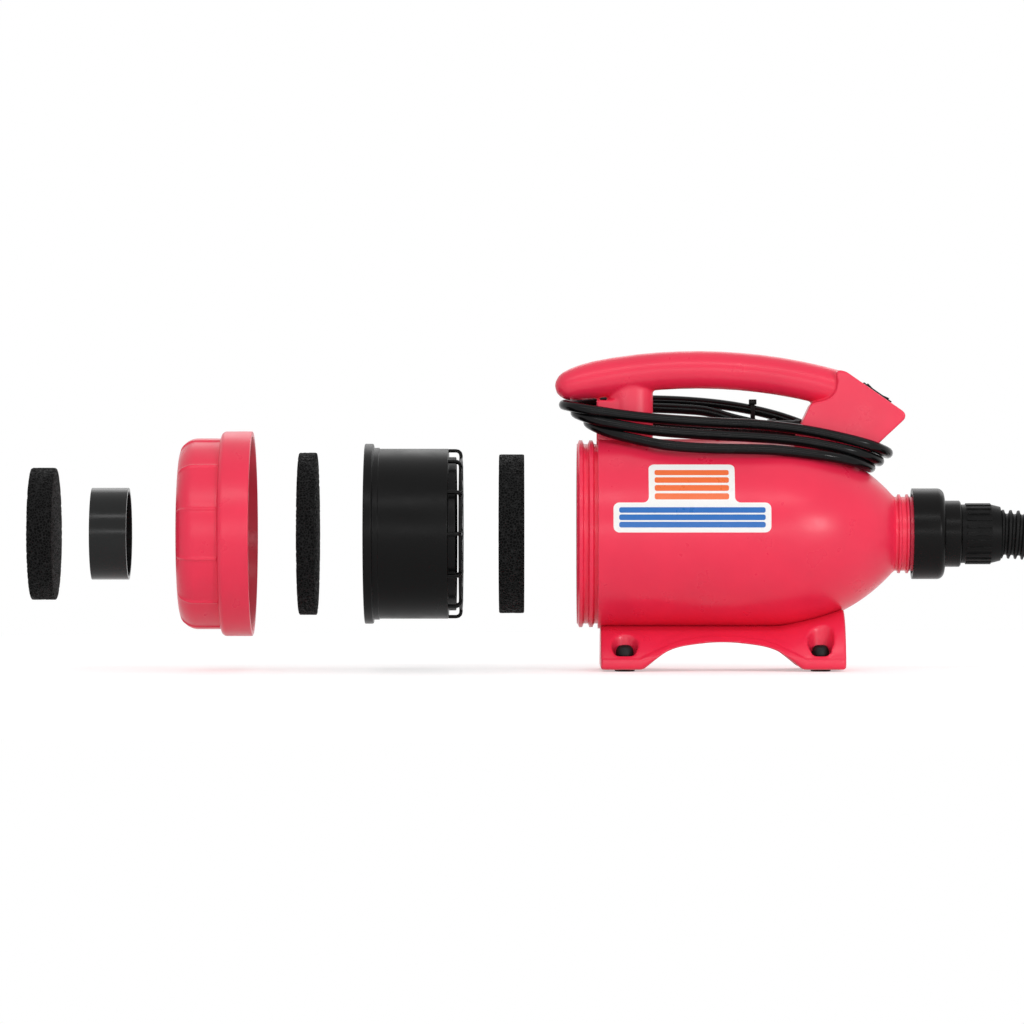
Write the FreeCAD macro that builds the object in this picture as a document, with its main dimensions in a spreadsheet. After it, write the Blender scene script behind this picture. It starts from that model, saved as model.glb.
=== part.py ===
"""Canister pet dryer, shown with its filters and rear cap taken off along its air axis.

Row frame, in millimetres: +X along the air flow towards the hose, +Z up, origin on the floor
midway between the four feet. The handle and the power cord lie above the body.
"""
import FreeCAD, Part
import math
import os
import Sketcher
from FreeCAD import Rotation, Vector

doc = FreeCAD.newDocument("PetDryer")
sheet = doc.addObject("Spreadsheet::Sheet", "Sizes")

# Driving dimensions, in millimetres and degrees
SIZES = [
    ("axis_height", 117.0, "air axis above the floor"),
    ("play", 0.3, "gap between pieces that move on each other"),
    ("fit", 0.05, "radial clearance of a running fit"),
    ("body_r", 81.5, "body outside radius"),
    ("body_wall", 3.0, "wall of the body shell"),
    ("rim_x", -124.0, "rear rim plane"),
    ("shoulder_x", -106.0, "where the rear thread ends"),
    ("rim_step", 4.3, "step from the body skin to the rear thread root"),
    ("thread_high", 3.2, "height of a rear thread ridge"),
    ("thread_pitch", 8.8, "distance between thread ridges"),
    ("thread_width", 5.4, "width of a thread ridge at its root"),
    ("rim_wall", 2.9, "wall of the rim under its thread"),
    ("rim_bore_end_x", -100.0, "where the rim bore opens into the body"),
    ("dome_x", 40.0, "where the dome starts"),
    ("dome_end_x", 146.5, "front end of the dome"),
    ("dome_end_r", 34.0, "dome radius at its front end"),
    ("neck_r", 31.8, "neck root radius"),
    ("neck_crest_r", 34.0, "neck ridge radius"),
    ("neck_ridge", 3.4, "neck ridge width"),
    ("neck_pitch", 7.0, "distance between neck ridges"),
    ("neck_end_x", 175.0, "front end of the neck"),
    ("neck_wall", 3.0, "wall of the neck"),
    ("seat_x", -12.0, "front face of the motor seat in the body"),
    ("seat_width", 5.0, "length of the motor seat ring"),
    ("seat_high", 8.5, "height of the motor seat ring in the body bore"),
    ("collar_x", 164.0, "rear face of the collar"),
    ("collar_r", 39.0, "collar radius"),
    ("collar_length", 27.5, "length of the wide part of the collar"),
    ("collar_step_r", 28.5, "radius of the collar's second stage"),
    ("collar_step", 14.0, "length of the second stage"),
    ("cuff_r", 26.2, "ribbed cuff radius"),
    ("cuff_end_x", 240.0, "front end of the ribbed cuff"),
    ("hose_r", 21.0, "hose outside radius"),
    ("hose_tail", 12.0, "length of hose inside a cuff"),
    ("cap_x", -465.0, "rear face of the rear cap"),
    ("cap_step", 6.0, "step from the cap skirt to its dome"),
    ("cap_corner", 16.0, "rounding of the dome's rear corner"),
    ("cap_step_x", 36.0, "from rear face to skirt"),
    ("cap_skirt_wall", 4.5, "wall of the cap skirt"),
    ("cap_skirt_round", 4.0, "rounding of the skirt's rear edge"),
    ("cap_length", 63.4, "rear face to mouth of the cap"),
    ("cap_wall", 3.0, "wall of the cap"),
    ("cap_gap", 3.1, "gap between the cap skirt and the rear thread"),
    ("cap_rib_high", 4.2, "height of the rib that presses on the basket flange"),
    ("cap_rib", 3.6, "width of that rib"),
    ("well_r", 57.6, "radius of the foam recess in the cap"),
    ("well_depth", 20.0, "depth of the foam recess"),
    ("port_r", 39.9, "bore of the cap's inlet port"),
    ("port_wall", 2.5, "wall of the inlet port"),
    ("port_length", 34.0, "length of the inlet port"),
    ("ring_x", -540.6, "rear face of the loose ring"),
    ("ring_r", 39.5, "ring outside radius"),
    ("ring_wall", 3.0, "wall of the ring"),
    ("ring_length", 31.6, "length of the ring"),
    ("inlet_foam_x", -593.0, "rear face of the outer foam"),
    ("inlet_foam_r", 57.0, "radius of the outer foam"),
    ("inlet_foam_thick", 22.0, "thickness of the outer foam"),
    ("basket_foam_x", -363.0, "rear face of the basket foam"),
    ("basket_foam_r", 70.0, "radius of the basket foam"),
    ("basket_foam_thick", 16.0, "thickness of the basket foam"),
    ("motor_foam_x", -191.0, "rear face of the motor foam"),
    ("motor_foam_r", 68.5, "radius of the motor foam"),
    ("motor_foam_thick", 22.0, "thickness of the motor foam"),
    ("basket_x", -306.0, "mouth of the filter basket"),
    ("basket_gap", 1.2, "gap between the basket drum and the rim bore"),
    ("basket_wall", 2.0, "wall of the basket"),
    ("flange_proud", 0.2, "basket flange beyond the rear thread root"),
    ("flange_depth", 7.7, "length of the rolled flange"),
    ("flange_thick", 3.0, "thickness of the flange"),
    ("drum_length", 72.0, "mouth to the end of the drum"),
    ("ledge_depth", 33.8, "mouth to the foam ledge"),
    ("ledge_r", 64.0, "bore of the foam ledge"),
    ("cage_length", 12.0, "length of the cage beyond the drum"),
    ("lip_r", 66.0, "radius of the lip inside the cage"),
    ("lip_length", 6.5, "length of the lip beyond the drum"),
    ("cage_hoop_r", 65.5, "outside radius of the cage's outer hoop"),
    ("cage_bar", 3.0, "thickness of a cage post"),
    ("cage_hub_r", 16.0, "radius of the cage hub"),
    ("cage_count", 12, "cage posts"),
    ("grip_r", 16.2, "radius of the handle grip"),
    ("grip_wall", 2.6, "wall of the handle"),
    ("grip_arc_r", 446.0, "radius of the grip's arch"),
    ("grip_top", 157.2, "top of the grip above the air axis"),
    ("grip_mid_x", -20.6, "middle of the grip's arch"),
    ("grip_rear", 106.4, "rear end of the grip, behind its middle"),
    ("grip_front", 112.0, "front end of the grip, ahead of its middle"),
    ("post_x", -78.0, "rear post axis"),
    ("post_r", 19.8, "rear post radius"),
    ("heel_length", 28.0, "length of the heel behind the rear post axis"),
    ("heel_top", 114.0, "top of the heel above the air axis"),
    ("heel_width", 30.0, "width of the heel"),
    ("head_width", 38.0, "width of the switch head"),
    ("head_top_x", 105.8, "upper corner of the switch head"),
    ("head_top", 140.0, "upper corner above the air axis"),
    ("nose_x", 160.8, "nose of the head"),
    ("nose_z", 101.7, "nose above the air axis"),
    ("chin_x", 137.6, "chin of the head"),
    ("chin_z", 80.2, "chin above the air axis"),
    ("leg_front_x", 110.9, "front foot of the leg"),
    ("leg_front_z", 56.6, "front foot of the leg above the air axis"),
    ("leg_rear_x", 59.3, "rear foot of the leg"),
    ("leg_rear_z", 75.5, "rear foot of the leg above the air axis"),
    ("throat_x", 76.0, "corner between leg and grip"),
    ("throat_z", 111.8, "that corner above the air axis"),
    ("crown_x", 97.0, "where the grip's top meets the head"),
    ("crown_z", 139.5, "that place above the air axis"),
    ("switch_length", 29.0, "length of the switch bezel"),
    ("switch_width", 15.0, "width of the switch bezel"),
    ("bezel_thick", 1.6, "height of the bezel above the head"),
    ("switch_depth", 19.0, "depth of the switch box"),
    ("rocker_length", 24.0, "length of the rocker"),
    ("rocker_width", 11.2, "width of the rocker"),
    ("switch_along", 34.0, "from the head's upper corner to the switch"),
    ("base_rear_x", -104.0, "rear end of the base"),
    ("base_front_x", 105.0, "front end of the base"),
    ("base_half", 62.0, "half width of the base"),
    ("base_lift", 1.5, "base above the floor"),
    ("base_band", 9.5, "height of the band round the base"),
    ("base_crease", 18.0, "half width where the base meets the body"),
    ("base_wall", 5.0, "wall of the base"),
    ("foot_x", 83.4, "feet fore and aft of the middle"),
    ("foot_y", 48.0, "feet to either side of the middle"),
    ("foot_r", 7.2, "radius of a rubber foot"),
    ("foot_floor", 13.0, "floor of a foot scoop above the ground"),
    ("foot_nub", 9.0, "height of a foot's nub above the scoop floor"),
    ("foot_stem_r", 5.0, "radius of a foot's stem"),
    ("scoop_r", 11.0, "radius of a foot scoop"),
    ("arch_half", 70.0, "half length of the arch between the feet"),
    ("arch_top", 24.6, "top of the arch above the ground"),
    ("plate_thick", 4.0, "thickness of the motor plate"),
    ("plate_bore_r", 50.0, "bore of the motor plate"),
    ("gasket_thick", 3.0, "thickness of the motor gasket"),
    ("can_room", 12.5, "room between fan cover and barrel, for the dome's curve"),
    ("can_wall", 1.2, "wall of the fan cover"),
    ("can_length", 24.0, "length of the fan cover"),
    ("eye_r", 22.0, "inlet eye of the fan"),
    ("fan_gap", 3.8, "gap between impeller and fan cover"),
    ("fan_thick", 12.0, "impeller thickness over its discs"),
    ("fan_disc", 1.0, "thickness of an impeller disc"),
    ("vane_count", 9, "impeller vanes"),
    ("shaft_r", 4.0, "motor shaft radius"),
    ("frame_r", 52.0, "motor frame radius"),
    ("frame_wall", 3.0, "wall of the motor frame"),
    ("frame_length", 62.0, "length of the motor frame"),
    ("bearing_r", 11.0, "bearing radius"),
    ("bearing_width", 7.0, "bearing width"),
    ("core_r", 45.0, "field core radius"),
    ("core_bore_r", 24.0, "field core bore"),
    ("core_length", 32.0, "length of the field core"),
    ("armature_r", 23.2, "armature radius"),
    ("commutator_r", 13.0, "commutator radius"),
    ("cord_d", 8.9, "power cord diameter"),
    ("coil_rear_x", -139.0, "rear end of the wound cord"),
    ("coil_front_x", 147.5, "front end of the wound cord"),
    ("coil_inner", 22.5, "inner half width of the wound cord"),
    ("coil_outer", 42.0, "outer half width of the wound cord"),
    ("coil_end", 11.5, "thickness of the wound cord at its ends"),
    ("coil_corner", 24.0, "outer corner radius of the wound cord"),
    ("coil_height", 28.0, "height of the wound cord"),
    ("coil_pitch", 7.0, "slope of the wound cord, down to the front"),
    ("coil_roll", 16.0, "slope of the wound cord, up to the far side"),
    ("coil_mid", 12.5, "middle of the wound cord above the body"),
    ("gland_x", 44.0, "rear face of the strain relief"),
    ("gland_y", 6.0, "strain relief to the far side of the middle"),
    ("gland_z", 9.5, "strain relief above the body"),
    ("gland_r", 7.5, "strain relief radius"),
    ("gland_length", 30.0, "length of the strain relief"),
    ("plug_r", 13.0, "plug radius"),
    ("plug_length", 42.0, "plug length"),
    ("blade_length", 17.0, "length of a plug blade"),
    ("nozzle_r", 13.0, "nozzle tip radius"),
    ("nozzle_length", 78.0, "length of the nozzle's cone"),
    ("nozzle_tip", 20.0, "length of the nozzle's straight tip"),
]


class Size:
    """A size taken from the sheet: its number, and the expression that gives it."""

    def __init__(self, value, text):
        self.value = value
        self.text = text

    def join(self, other, sign, value):
        return Size(value, f"({self.text} {sign} {text_of(other)})")

    def __add__(self, other):
        return self.join(other, "+", self.value + number(other))

    def __sub__(self, other):
        return self.join(other, "-", self.value - number(other))

    def __mul__(self, other):
        return self.join(other, "*", self.value * number(other))

    def __truediv__(self, other):
        return self.join(other, "/", self.value / number(other))

    def __neg__(self):
        return Size(-self.value, f"(-1 * {self.text})")

    def __radd__(self, other):
        return Size(number(other), text_of(other)) + self

    def __rsub__(self, other):
        return Size(number(other), text_of(other)) - self

    def __rmul__(self, other):
        return Size(number(other), text_of(other)) * self


def number(size):
    """The plain number of a size or a number."""
    return size.value if isinstance(size, Size) else float(size)


def text_of(size):
    """The expression of a size or a number."""
    return size.text if isinstance(size, Size) else f"{size:g}"


class Names:
    """The sheet's sizes as attributes, such as d.body_r."""


d = Names()
for row, (alias, value, note) in enumerate(SIZES, start=1):
    sheet.set(f"A{row}", note)
    sheet.set(f"B{row}", f"{value:g}")
    sheet.setAlias(f"B{row}", alias)
    setattr(d, alias, Size(float(value), f"Sizes.{alias}"))
doc.recompute()


def bind(thing, prop, size):
    """Set a property, through an expression where the size comes from the sheet."""
    if isinstance(size, Size):
        thing.setExpression(prop, size.text)
    else:
        setattr(thing, prop, size)


def place(thing, x=0.0, y=0.0, z=0.0, rotation=None):
    """Place an object in the row frame."""
    base = Vector(number(x), number(y), number(z))
    thing.Placement = FreeCAD.Placement(base, rotation or Rotation())
    for axis, size in (("x", x), ("y", y), ("z", z)):
        if isinstance(size, Size):
            thing.setExpression(f"Placement.Base.{axis}", size.text)
    return thing


ALONG_X = Rotation(Vector(0, 1, 0), 90)
ALONG_MINUS_X = Rotation(Vector(0, 1, 0), -90)
ALONG_Y = Rotation(Vector(1, 0, 0), -90)
NODES = {}


def node(name, thing):
    """Register an object as a sub-part of the dryer."""
    thing.Label = name
    NODES[name] = thing
    return thing


def cylinder(name, radius, length, x=0.0, y=0.0, z=0.0, rotation=ALONG_X):
    rod = doc.addObject("Part::Cylinder", name)
    bind(rod, "Radius", radius)
    bind(rod, "Height", length)
    return place(rod, x, y, z, rotation)


def box(name, sizes, x=0.0, y=0.0, z=0.0, rotation=None):
    block = doc.addObject("Part::Box", name)
    for prop, size in zip(("Length", "Width", "Height"), sizes):
        bind(block, prop, size)
    return place(block, x, y, z, rotation)


def cut(name, base, tool):
    result = doc.addObject("Part::Cut", name)
    result.Base = base
    result.Tool = tool
    return result


def fuse(name, things):
    result = doc.addObject("Part::MultiFuse", name)
    result.Shapes = things
    return result


def common(name, things):
    result = doc.addObject("Part::MultiCommon", name)
    result.Shapes = things
    return result


def group(name, things):
    """Separate solids that share one sub-part."""
    result = doc.addObject("Part::Compound", name)
    result.Links = things
    return result


def tube(name, outer, inner, length, x=0.0, y=0.0, z=0.0, rotation=ALONG_X):
    shell = cylinder(name + "_outside", outer, length, x, y, z, rotation)
    bore = cylinder(name + "_bore", inner, length, x, y, z, rotation)
    return cut(name, shell, bore)


def sketch_on(body, name, role, points):
    """A closed outline on a body's origin plane.

    A point is (u, v), or (u, v, centre_u) where the edge that leaves it is an arc whose centre
    has that first coordinate.
    """
    sketch = body.newObject("Sketcher::SketchObject", name)
    plane = [item for item in body.Origin.OriginFeatures if item.Role == role][0]
    sketch.AttachmentSupport = (plane, [""])
    sketch.MapMode = "FlatFace"
    ends = []
    for index, point in enumerate(points):
        after = points[(index + 1) % len(points)]
        start = Vector(number(point[0]), number(point[1]), 0)
        end = Vector(number(after[0]), number(after[1]), 0)
        if len(point) == 2:
            sketch.addGeometry(Part.LineSegment(start, end), False)
            ends.append((1, 2))
            continue
        centre = arc_centre(start, end, number(point[2]))
        forward = (start - centre).cross(end - centre).z > 0
        first, last = (start, end) if forward else (end, start)
        circle = Part.Circle(centre, Vector(0, 0, 1), (start - centre).Length)
        first_angle = math.atan2(first.y - centre.y, first.x - centre.x)
        last_angle = math.atan2(last.y - centre.y, last.x - centre.x)
        if last_angle < first_angle:
            last_angle += 2 * math.pi
        sketch.addGeometry(Part.ArcOfCircle(circle, first_angle, last_angle), False)
        ends.append((1, 2) if forward else (2, 1))
    for index, point in enumerate(points):
        after = (index + 1) % len(points)
        sketch.addConstraint(
            Sketcher.Constraint("Coincident", index, ends[index][1], after, ends[after][0]))
    for index, point in enumerate(points):
        start_end = ends[index][0]
        fix(sketch, "DistanceX", index, start_end, point[0])
        fix(sketch, "DistanceY", index, start_end, point[1])
        if len(point) == 3:
            fix(sketch, "DistanceX", index, 3, point[2])
    return sketch


def arc_centre(start, end, centre_u):
    """Centre of the arc between two points whose centre has the given first coordinate."""
    lift = (end.x - centre_u) ** 2 - (start.x - centre_u) ** 2 + end.y ** 2 - start.y ** 2
    return Vector(centre_u, lift / (2 * (end.y - start.y)), 0)


def fix(sketch, kind, edge, end, size):
    """Hold one coordinate of a point to a size."""
    index = sketch.addConstraint(Sketcher.Constraint(kind, -1, 1, edge, end, number(size)))
    if isinstance(size, Size):
        sketch.setExpression(f"Constraints[{index}]", size.text)


def turned(name, points, x=0.0, z=None):
    """A body turned about the air axis: its outline is walked as (x, radius) points."""
    body = doc.addObject("PartDesign::Body", name)
    sketch = sketch_on(body, name + "_outline", "XZ_Plane", points)
    turn = body.newObject("PartDesign::Revolution", name + "_turn")
    turn.Profile = sketch
    turn.ReferenceAxis = (sketch, ["H_Axis"])
    turn.Angle = 360.0
    body.Tip = turn
    return place(body, x, 0.0, d.axis_height if z is None else z)


def padded(name, role, points, thickness, x=0.0, y=0.0, z=0.0, rotation=None):
    """A body padded evenly to both sides of an origin plane."""
    body = doc.addObject("PartDesign::Body", name)
    sketch = sketch_on(body, name + "_outline", role, points)
    pad = body.newObject("PartDesign::Pad", name + "_pad")
    pad.Profile = sketch
    pad.Midplane = True
    bind(pad, "Length", thickness)
    body.Tip = pad
    return place(body, x, y, z, rotation)


def ridges(x, root, crest, pitch, width, count):
    """Outline points of thread ridges that follow one another along the axis."""
    flank = width * 0.25
    points = []
    for index in range(count):
        start = x + pitch * index
        points += [
            (start, root), (start + flank, crest),
            (start + width - flank, crest), (start + width, root)]
    return points


# Body shell: threaded rim, straight barrel, dome and threaded neck
inner_r = d.body_r - d.body_wall
thread_root_r = d.body_r - d.rim_step
thread_crest_r = thread_root_r + d.thread_high
rim_bore_r = thread_root_r - d.rim_wall
seat_bore_r = inner_r - d.seat_high
body_top = d.axis_height + d.body_r
neck_bore_r = d.neck_r - d.neck_wall
seat_rear_x = d.seat_x - d.seat_width
shell_turn = turned("shell_turn", [
    (d.rim_x, rim_bore_r),
    (d.rim_x, thread_root_r),
    *ridges(d.rim_x + 0.6, thread_root_r, thread_crest_r, d.thread_pitch, d.thread_width, 2),
    (d.shoulder_x, thread_root_r),
    (d.shoulder_x, d.body_r),
    (d.dome_x, d.body_r, d.dome_x),
    (d.dome_end_x, d.dome_end_r),
    (d.dome_end_x + 2.5, d.neck_r),
    *ridges(d.dome_end_x + 4.5, d.neck_r, d.neck_crest_r, d.neck_pitch, d.neck_ridge, 2),
    (d.neck_end_x, d.neck_r),
    (d.neck_end_x, neck_bore_r),
    (d.dome_end_x, neck_bore_r, d.dome_x),
    (d.dome_x, inner_r),
    (d.seat_x, inner_r),
    (d.seat_x, seat_bore_r),
    (seat_rear_x, seat_bore_r),
    (seat_rear_x, inner_r),
    (d.rim_bore_end_x, inner_r),
    (d.rim_bore_end_x, rim_bore_r),
])


def body_form(name, extra, front=0.0):
    """The body's outside as a solid, grown by extra, to shape what stands on it."""
    outside = d.body_r + extra
    return turned(name, [
        (d.shoulder_x, 0.0), (d.shoulder_x, outside), (d.dome_x, outside, d.dome_x),
        (d.dome_end_x, d.dome_end_r + extra), (d.dome_end_x + front, 0.0)])


# Bosses inside the shell take the base screws
screw_xs = [-34.0, 60.0]
screw_r = 2.0
boss_r = 5.0
boss_height = 9.0
boss_foot = d.axis_height - inner_r - 1.0
boss_hole_over = 25.0
bosses = [
    cylinder(f"shell_boss_{side}", boss_r, boss_height, x, 0.0, boss_foot, Rotation())
    for side, x in zip(("rear", "front"), screw_xs)]
boss_holes = [
    cylinder(f"shell_boss_hole_{side}", screw_r, boss_height + boss_hole_over, x, 0.0,
             boss_foot - boss_hole_over, Rotation())
    for side, x in zip(("rear", "front"), screw_xs)]
wire_hole_x = 96.0
wire_hole_r = 9.0
wire_hole = cylinder("wire_hole", wire_hole_r, d.body_r + wire_hole_r, wire_hole_x, 0.0,
                     d.axis_height, Rotation())
shell_solid = fuse("shell_solid", [shell_turn, *bosses])
shell_holes = fuse("shell_holes", [*boss_holes, wire_hole])
node("body_shell", cut("body_shell", shell_solid, shell_holes))

# Base: a flared skirt under the body, with an arch between its feet
crease_top = d.axis_height - d.body_r + 3.5
front_top = crease_top + 14.0
band_top = d.base_lift + d.base_band
flare_x = d.dome_x + 8.0
roof_thick = 8.5


def skirt_section(body, name, x, top):
    """Cross-section of the base: a band at the bottom and a round flare up to the crease."""
    sketch = sketch_on(body, name, "YZ_Plane", [
        (-d.base_half, d.base_lift),
        (-d.base_half, band_top, 10.0 - d.base_crease),
        (-d.base_crease, top),
        (d.base_crease, top, d.base_crease - 10.0),
        (d.base_half, band_top),
        (d.base_half, d.base_lift),
    ])
    sketch.AttachmentOffset = FreeCAD.Placement(Vector(0, 0, number(x)), Rotation())
    bind(sketch, "AttachmentOffset.Base.z", x)
    return sketch


def skirt_part(name, sections):
    body = doc.addObject("PartDesign::Body", name)
    sketches = [skirt_section(body, f"{name}_{index}", x, top)
                for index, (x, top) in enumerate(sections)]
    loft = body.newObject("PartDesign::AdditiveLoft", name + "_loft")
    loft.Profile = sketches[0]
    loft.Sections = sketches[1:]
    loft.Ruled = True
    body.Tip = loft
    return body


skirt_rear = skirt_part("skirt_rear", [(d.base_rear_x, crease_top), (flare_x, crease_top)])
skirt_front = skirt_part("skirt_front", [(flare_x, crease_top), (d.base_front_x, front_top)])
skirt = fuse("skirt", [skirt_rear, skirt_front])
arch = padded("arch", "XZ_Plane", [
    (-d.arch_half, 0.0 - d.play, 0.0),
    (0.0, d.arch_top, 0.0),
    (d.arch_half, 0.0 - d.play),
], d.base_half * 3.0)
hollow_half = d.foot_y - d.scoop_r - 3.0
hollow = box("hollow", (
    d.base_front_x - d.base_rear_x - d.base_wall * 2.0, hollow_half * 2.0,
    crease_top - roof_thick), d.base_rear_x + d.base_wall, -hollow_half, 0.0)
feet_at = [(sx, sy) for sx in (-1, 1) for sy in (-1, 1)]
scoop_y = d.foot_y + 3.0
scoops = []
foot_holes = []
for index, (sx, sy) in enumerate(feet_at):
    scoops.append(cylinder(
        f"scoop_{index}", d.scoop_r, d.axis_height, d.foot_x * sx, scoop_y * sy, d.foot_floor,
        Rotation()))
    foot_holes.append(cylinder(
        f"foot_hole_{index}", d.foot_stem_r, d.foot_floor + 2.0, d.foot_x * sx, d.foot_y * sy, 0.0,
        Rotation()))
base_screw_holes = [
    cylinder(f"base_screw_hole_{index}", screw_r, d.axis_height, x, 0.0, 0.0, Rotation())
    for index, x in enumerate(screw_xs)]
base_cuts = fuse("base_cuts", [
    arch, hollow, body_form("base_form", 0.0), *scoops, *foot_holes, *base_screw_holes])
node("base", cut("base", skirt, base_cuts))

# Base screws, heads in the hollow, ends in the bosses
head_r = 4.0
head_thick = 2.6
roof_z = crease_top - roof_thick
base_screw_parts = []
for index, x in enumerate(screw_xs):
    head = cylinder(f"base_screw_head_{index}", head_r, head_thick, x, 0.0, roof_z - head_thick,
                    Rotation())
    shank = cylinder(f"base_screw_shank_{index}", screw_r, boss_foot + boss_height - roof_z - 1.0,
                     x, 0.0, roof_z, Rotation())
    base_screw_parts.append(fuse(f"base_screw_{index}", [head, shank]))
node("base_screws", group("base_screws", base_screw_parts))

# Rubber feet: a nub in the scoop, a stem through its floor and a pad on the ground
feet = []
for index, (sx, sy) in enumerate(feet_at):
    at = (d.foot_x * sx, d.foot_y * sy)
    pad = cylinder(f"foot_pad_{index}", d.foot_r + 1.5, d.base_lift, *at, 0.0, Rotation())
    stem = cylinder(f"foot_stem_{index}", d.foot_stem_r, d.foot_floor, *at, 0.0, Rotation())
    nub = cylinder(f"foot_nub_{index}", d.foot_r, d.foot_nub, *at, d.foot_floor, Rotation())
    feet.append(fuse(f"foot_{index}", [pad, stem, nub]))
node("rubber_feet", group("rubber_feet", feet))

# Handle: an arched round grip, a rear post with a heel, and a switch head on a front leg
arc_z = d.grip_top - d.grip_r - d.grip_arc_r
rear_angle = math.asin(number(d.grip_rear / d.grip_arc_r))
sweep = f"asin({(d.grip_rear / d.grip_arc_r).text}) + asin({(d.grip_front / d.grip_arc_r).text})"


def grip_solid(name, radius):
    """The arched grip with its round rear end."""
    arch_bar = doc.addObject("Part::Torus", name + "_bar")
    bind(arch_bar, "Radius1", d.grip_arc_r)
    bind(arch_bar, "Radius2", radius)
    arch_bar.setExpression("Angle3", sweep)
    start = Vector(-math.sin(rear_angle), 0, math.cos(rear_angle))
    along = Vector(math.cos(rear_angle), 0, math.sin(rear_angle))
    turn = Rotation(start, along, Vector(0, 1, 0), "XYZ")
    place(arch_bar, d.grip_mid_x, 0.0, d.axis_height + arc_z, turn)
    end = doc.addObject("Part::Sphere", name + "_end")
    bind(end, "Radius", radius)
    drop = number(d.grip_arc_r) * math.cos(rear_angle)
    place(end, d.grip_mid_x - d.grip_rear, 0.0, d.axis_height + arc_z + drop)
    return [arch_bar, end]


head_outline = [
    (d.head_top_x, d.head_top), (d.nose_x, d.nose_z), (d.chin_x, d.chin_z),
    (d.leg_front_x, d.leg_front_z), (d.leg_rear_x, d.leg_rear_z),
    (d.throat_x, d.throat_z), (d.crown_x, d.crown_z)]


def inset(points, wall):
    """An outline moved inwards by a wall, for outlines walked clockwise."""
    plain = [Vector(number(u), number(v), 0) for u, v in points]
    moved = []
    for index, corner in enumerate(plain):
        before = (corner - plain[index - 1]).normalize()
        after = (plain[(index + 1) % len(plain)] - corner).normalize()
        side_a = Vector(before.y, -before.x, 0)
        side_b = Vector(after.y, -after.x, 0)
        share = 1 + side_a.dot(side_b)
        inner = corner + (side_a + side_b) * (wall / share)
        moved.append((inner.x, inner.y))
    return moved


post_foot = d.axis_height + 60.0
post_top = d.grip_top - d.grip_r * 2.0
grip_inner = d.grip_r - d.grip_wall
handle_blank = fuse("handle_blank", [
    *grip_solid("grip", d.grip_r),
    padded("head", "XZ_Plane", head_outline, d.head_width, z=d.axis_height),
    cylinder("post", d.post_r, post_top - 60.0, d.post_x, 0.0, post_foot, Rotation()),
    box("heel", (d.heel_length, d.heel_width, d.heel_top - 60.0), d.post_x - d.heel_length,
        -d.heel_width / 2.0, post_foot)])
handle_void = fuse("handle_void", [
    *grip_solid("grip_void", grip_inner),
    padded("head_void", "XZ_Plane", inset(head_outline, number(d.grip_wall)),
           d.head_width - d.grip_wall * 2.0, z=d.axis_height),
    cylinder("post_void", d.post_r - d.grip_wall, post_top - 60.0, d.post_x, 0.0,
             post_foot - d.grip_wall, Rotation())])
handle_shell = cut("handle_shell", handle_blank, handle_void)

# Frame of the sloping switch face: local X runs down the slope, local Z out of it
slope = math.atan2(number(d.head_top - d.nose_z), number(d.nose_x - d.head_top_x))
slope_turn = Rotation(Vector(0, 1, 0), math.degrees(slope))
slope_corner = Vector(number(d.head_top_x), 0, number(d.axis_height + d.head_top))


def on_slope(thing, along, across, out):
    """Place an object in the frame of the switch face, measured from its upper corner."""
    spot = slope_corner + slope_turn.multVec(Vector(number(along), number(across), number(out)))
    thing.Placement = FreeCAD.Placement(spot, slope_turn)
    return thing


rear_z = d.switch_depth + d.grip_wall
box_length = d.switch_length - 3.0
box_width = d.switch_width - 2.0
slot = on_slope(
    box("switch_slot", (box_length + d.play, box_width + d.play, rear_z)),
    d.switch_along - (box_length + d.play) / 2.0, -(box_width + d.play) / 2.0, -rear_z)
gland_hole = cylinder(
    "gland_hole", d.gland_r, d.gland_length, d.gland_x, d.gland_y, body_top + d.gland_z)
handle_cuts = fuse("handle_cuts", [body_form("handle_form", 0.0), slot, gland_hole])
handle_open = cut("handle_open", handle_shell, handle_cuts)
half_rear_x = d.grip_mid_x - d.grip_rear - d.grip_r * 2.0
half_width = d.post_r * 2.0
half_size = (d.nose_x - half_rear_x + d.grip_r, half_width, d.grip_top)
right_room = box("right_room", half_size, half_rear_x, -half_width, d.axis_height + d.grip_r)
left_room = box("left_room", half_size, half_rear_x, 0.0, d.axis_height + d.grip_r)

# Screw bosses join the halves; the screws enter from the far side
screw_spots = [(-119.0, 131.0), (-62.0, 139.0), (78.0, 129.0), (88.0, 96.0)]
pillar_r = 4.0
thread_r = 1.5


def across(name, radius, width, x, z, y):
    """A round bar that runs from side to side of the handle."""
    return cylinder(name, radius, width, x, y, d.axis_height + z, ALONG_Y)


pillars = []
pillar_holes = []
handle_screw_parts = []
for index, (x, z) in enumerate(screw_spots):
    reach = d.grip_r - d.grip_wall - 0.5 if index < 3 else d.head_width / 2.0 - 1.0
    pillars.append(across(f"pillar_{index}", pillar_r, reach * 2.0, x, z, -reach))
    pillar_holes.append(across(f"pillar_hole_{index}", thread_r, reach * 2.0 + 30.0, x, z,
                               -reach + 6.0))
    shank = across(f"handle_shank_{index}", thread_r, reach * 2.0 - 7.0, x, z, -reach + 7.0)
    head = across(f"handle_head_{index}", 2.8, 2.0, x, z, reach)
    handle_screw_parts.append(fuse(f"handle_screw_{index}", [shank, head]))
handle_full = fuse("handle_full", [handle_open, *pillars])
head_pockets = [
    across(f"head_pocket_{index}", 2.9, 30.0, x, z,
           (d.grip_r - d.grip_wall - 0.5 if index < 3 else d.head_width / 2.0 - 1.0))
    for index, (x, z) in enumerate(screw_spots)]
handle_bored = cut("handle_bored", handle_full, fuse("handle_bores", [*pillar_holes, *head_pockets]))
node("handle_right", common("handle_right", [handle_bored, right_room]))
node("handle_left", common("handle_left", [handle_bored, left_room]))
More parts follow.
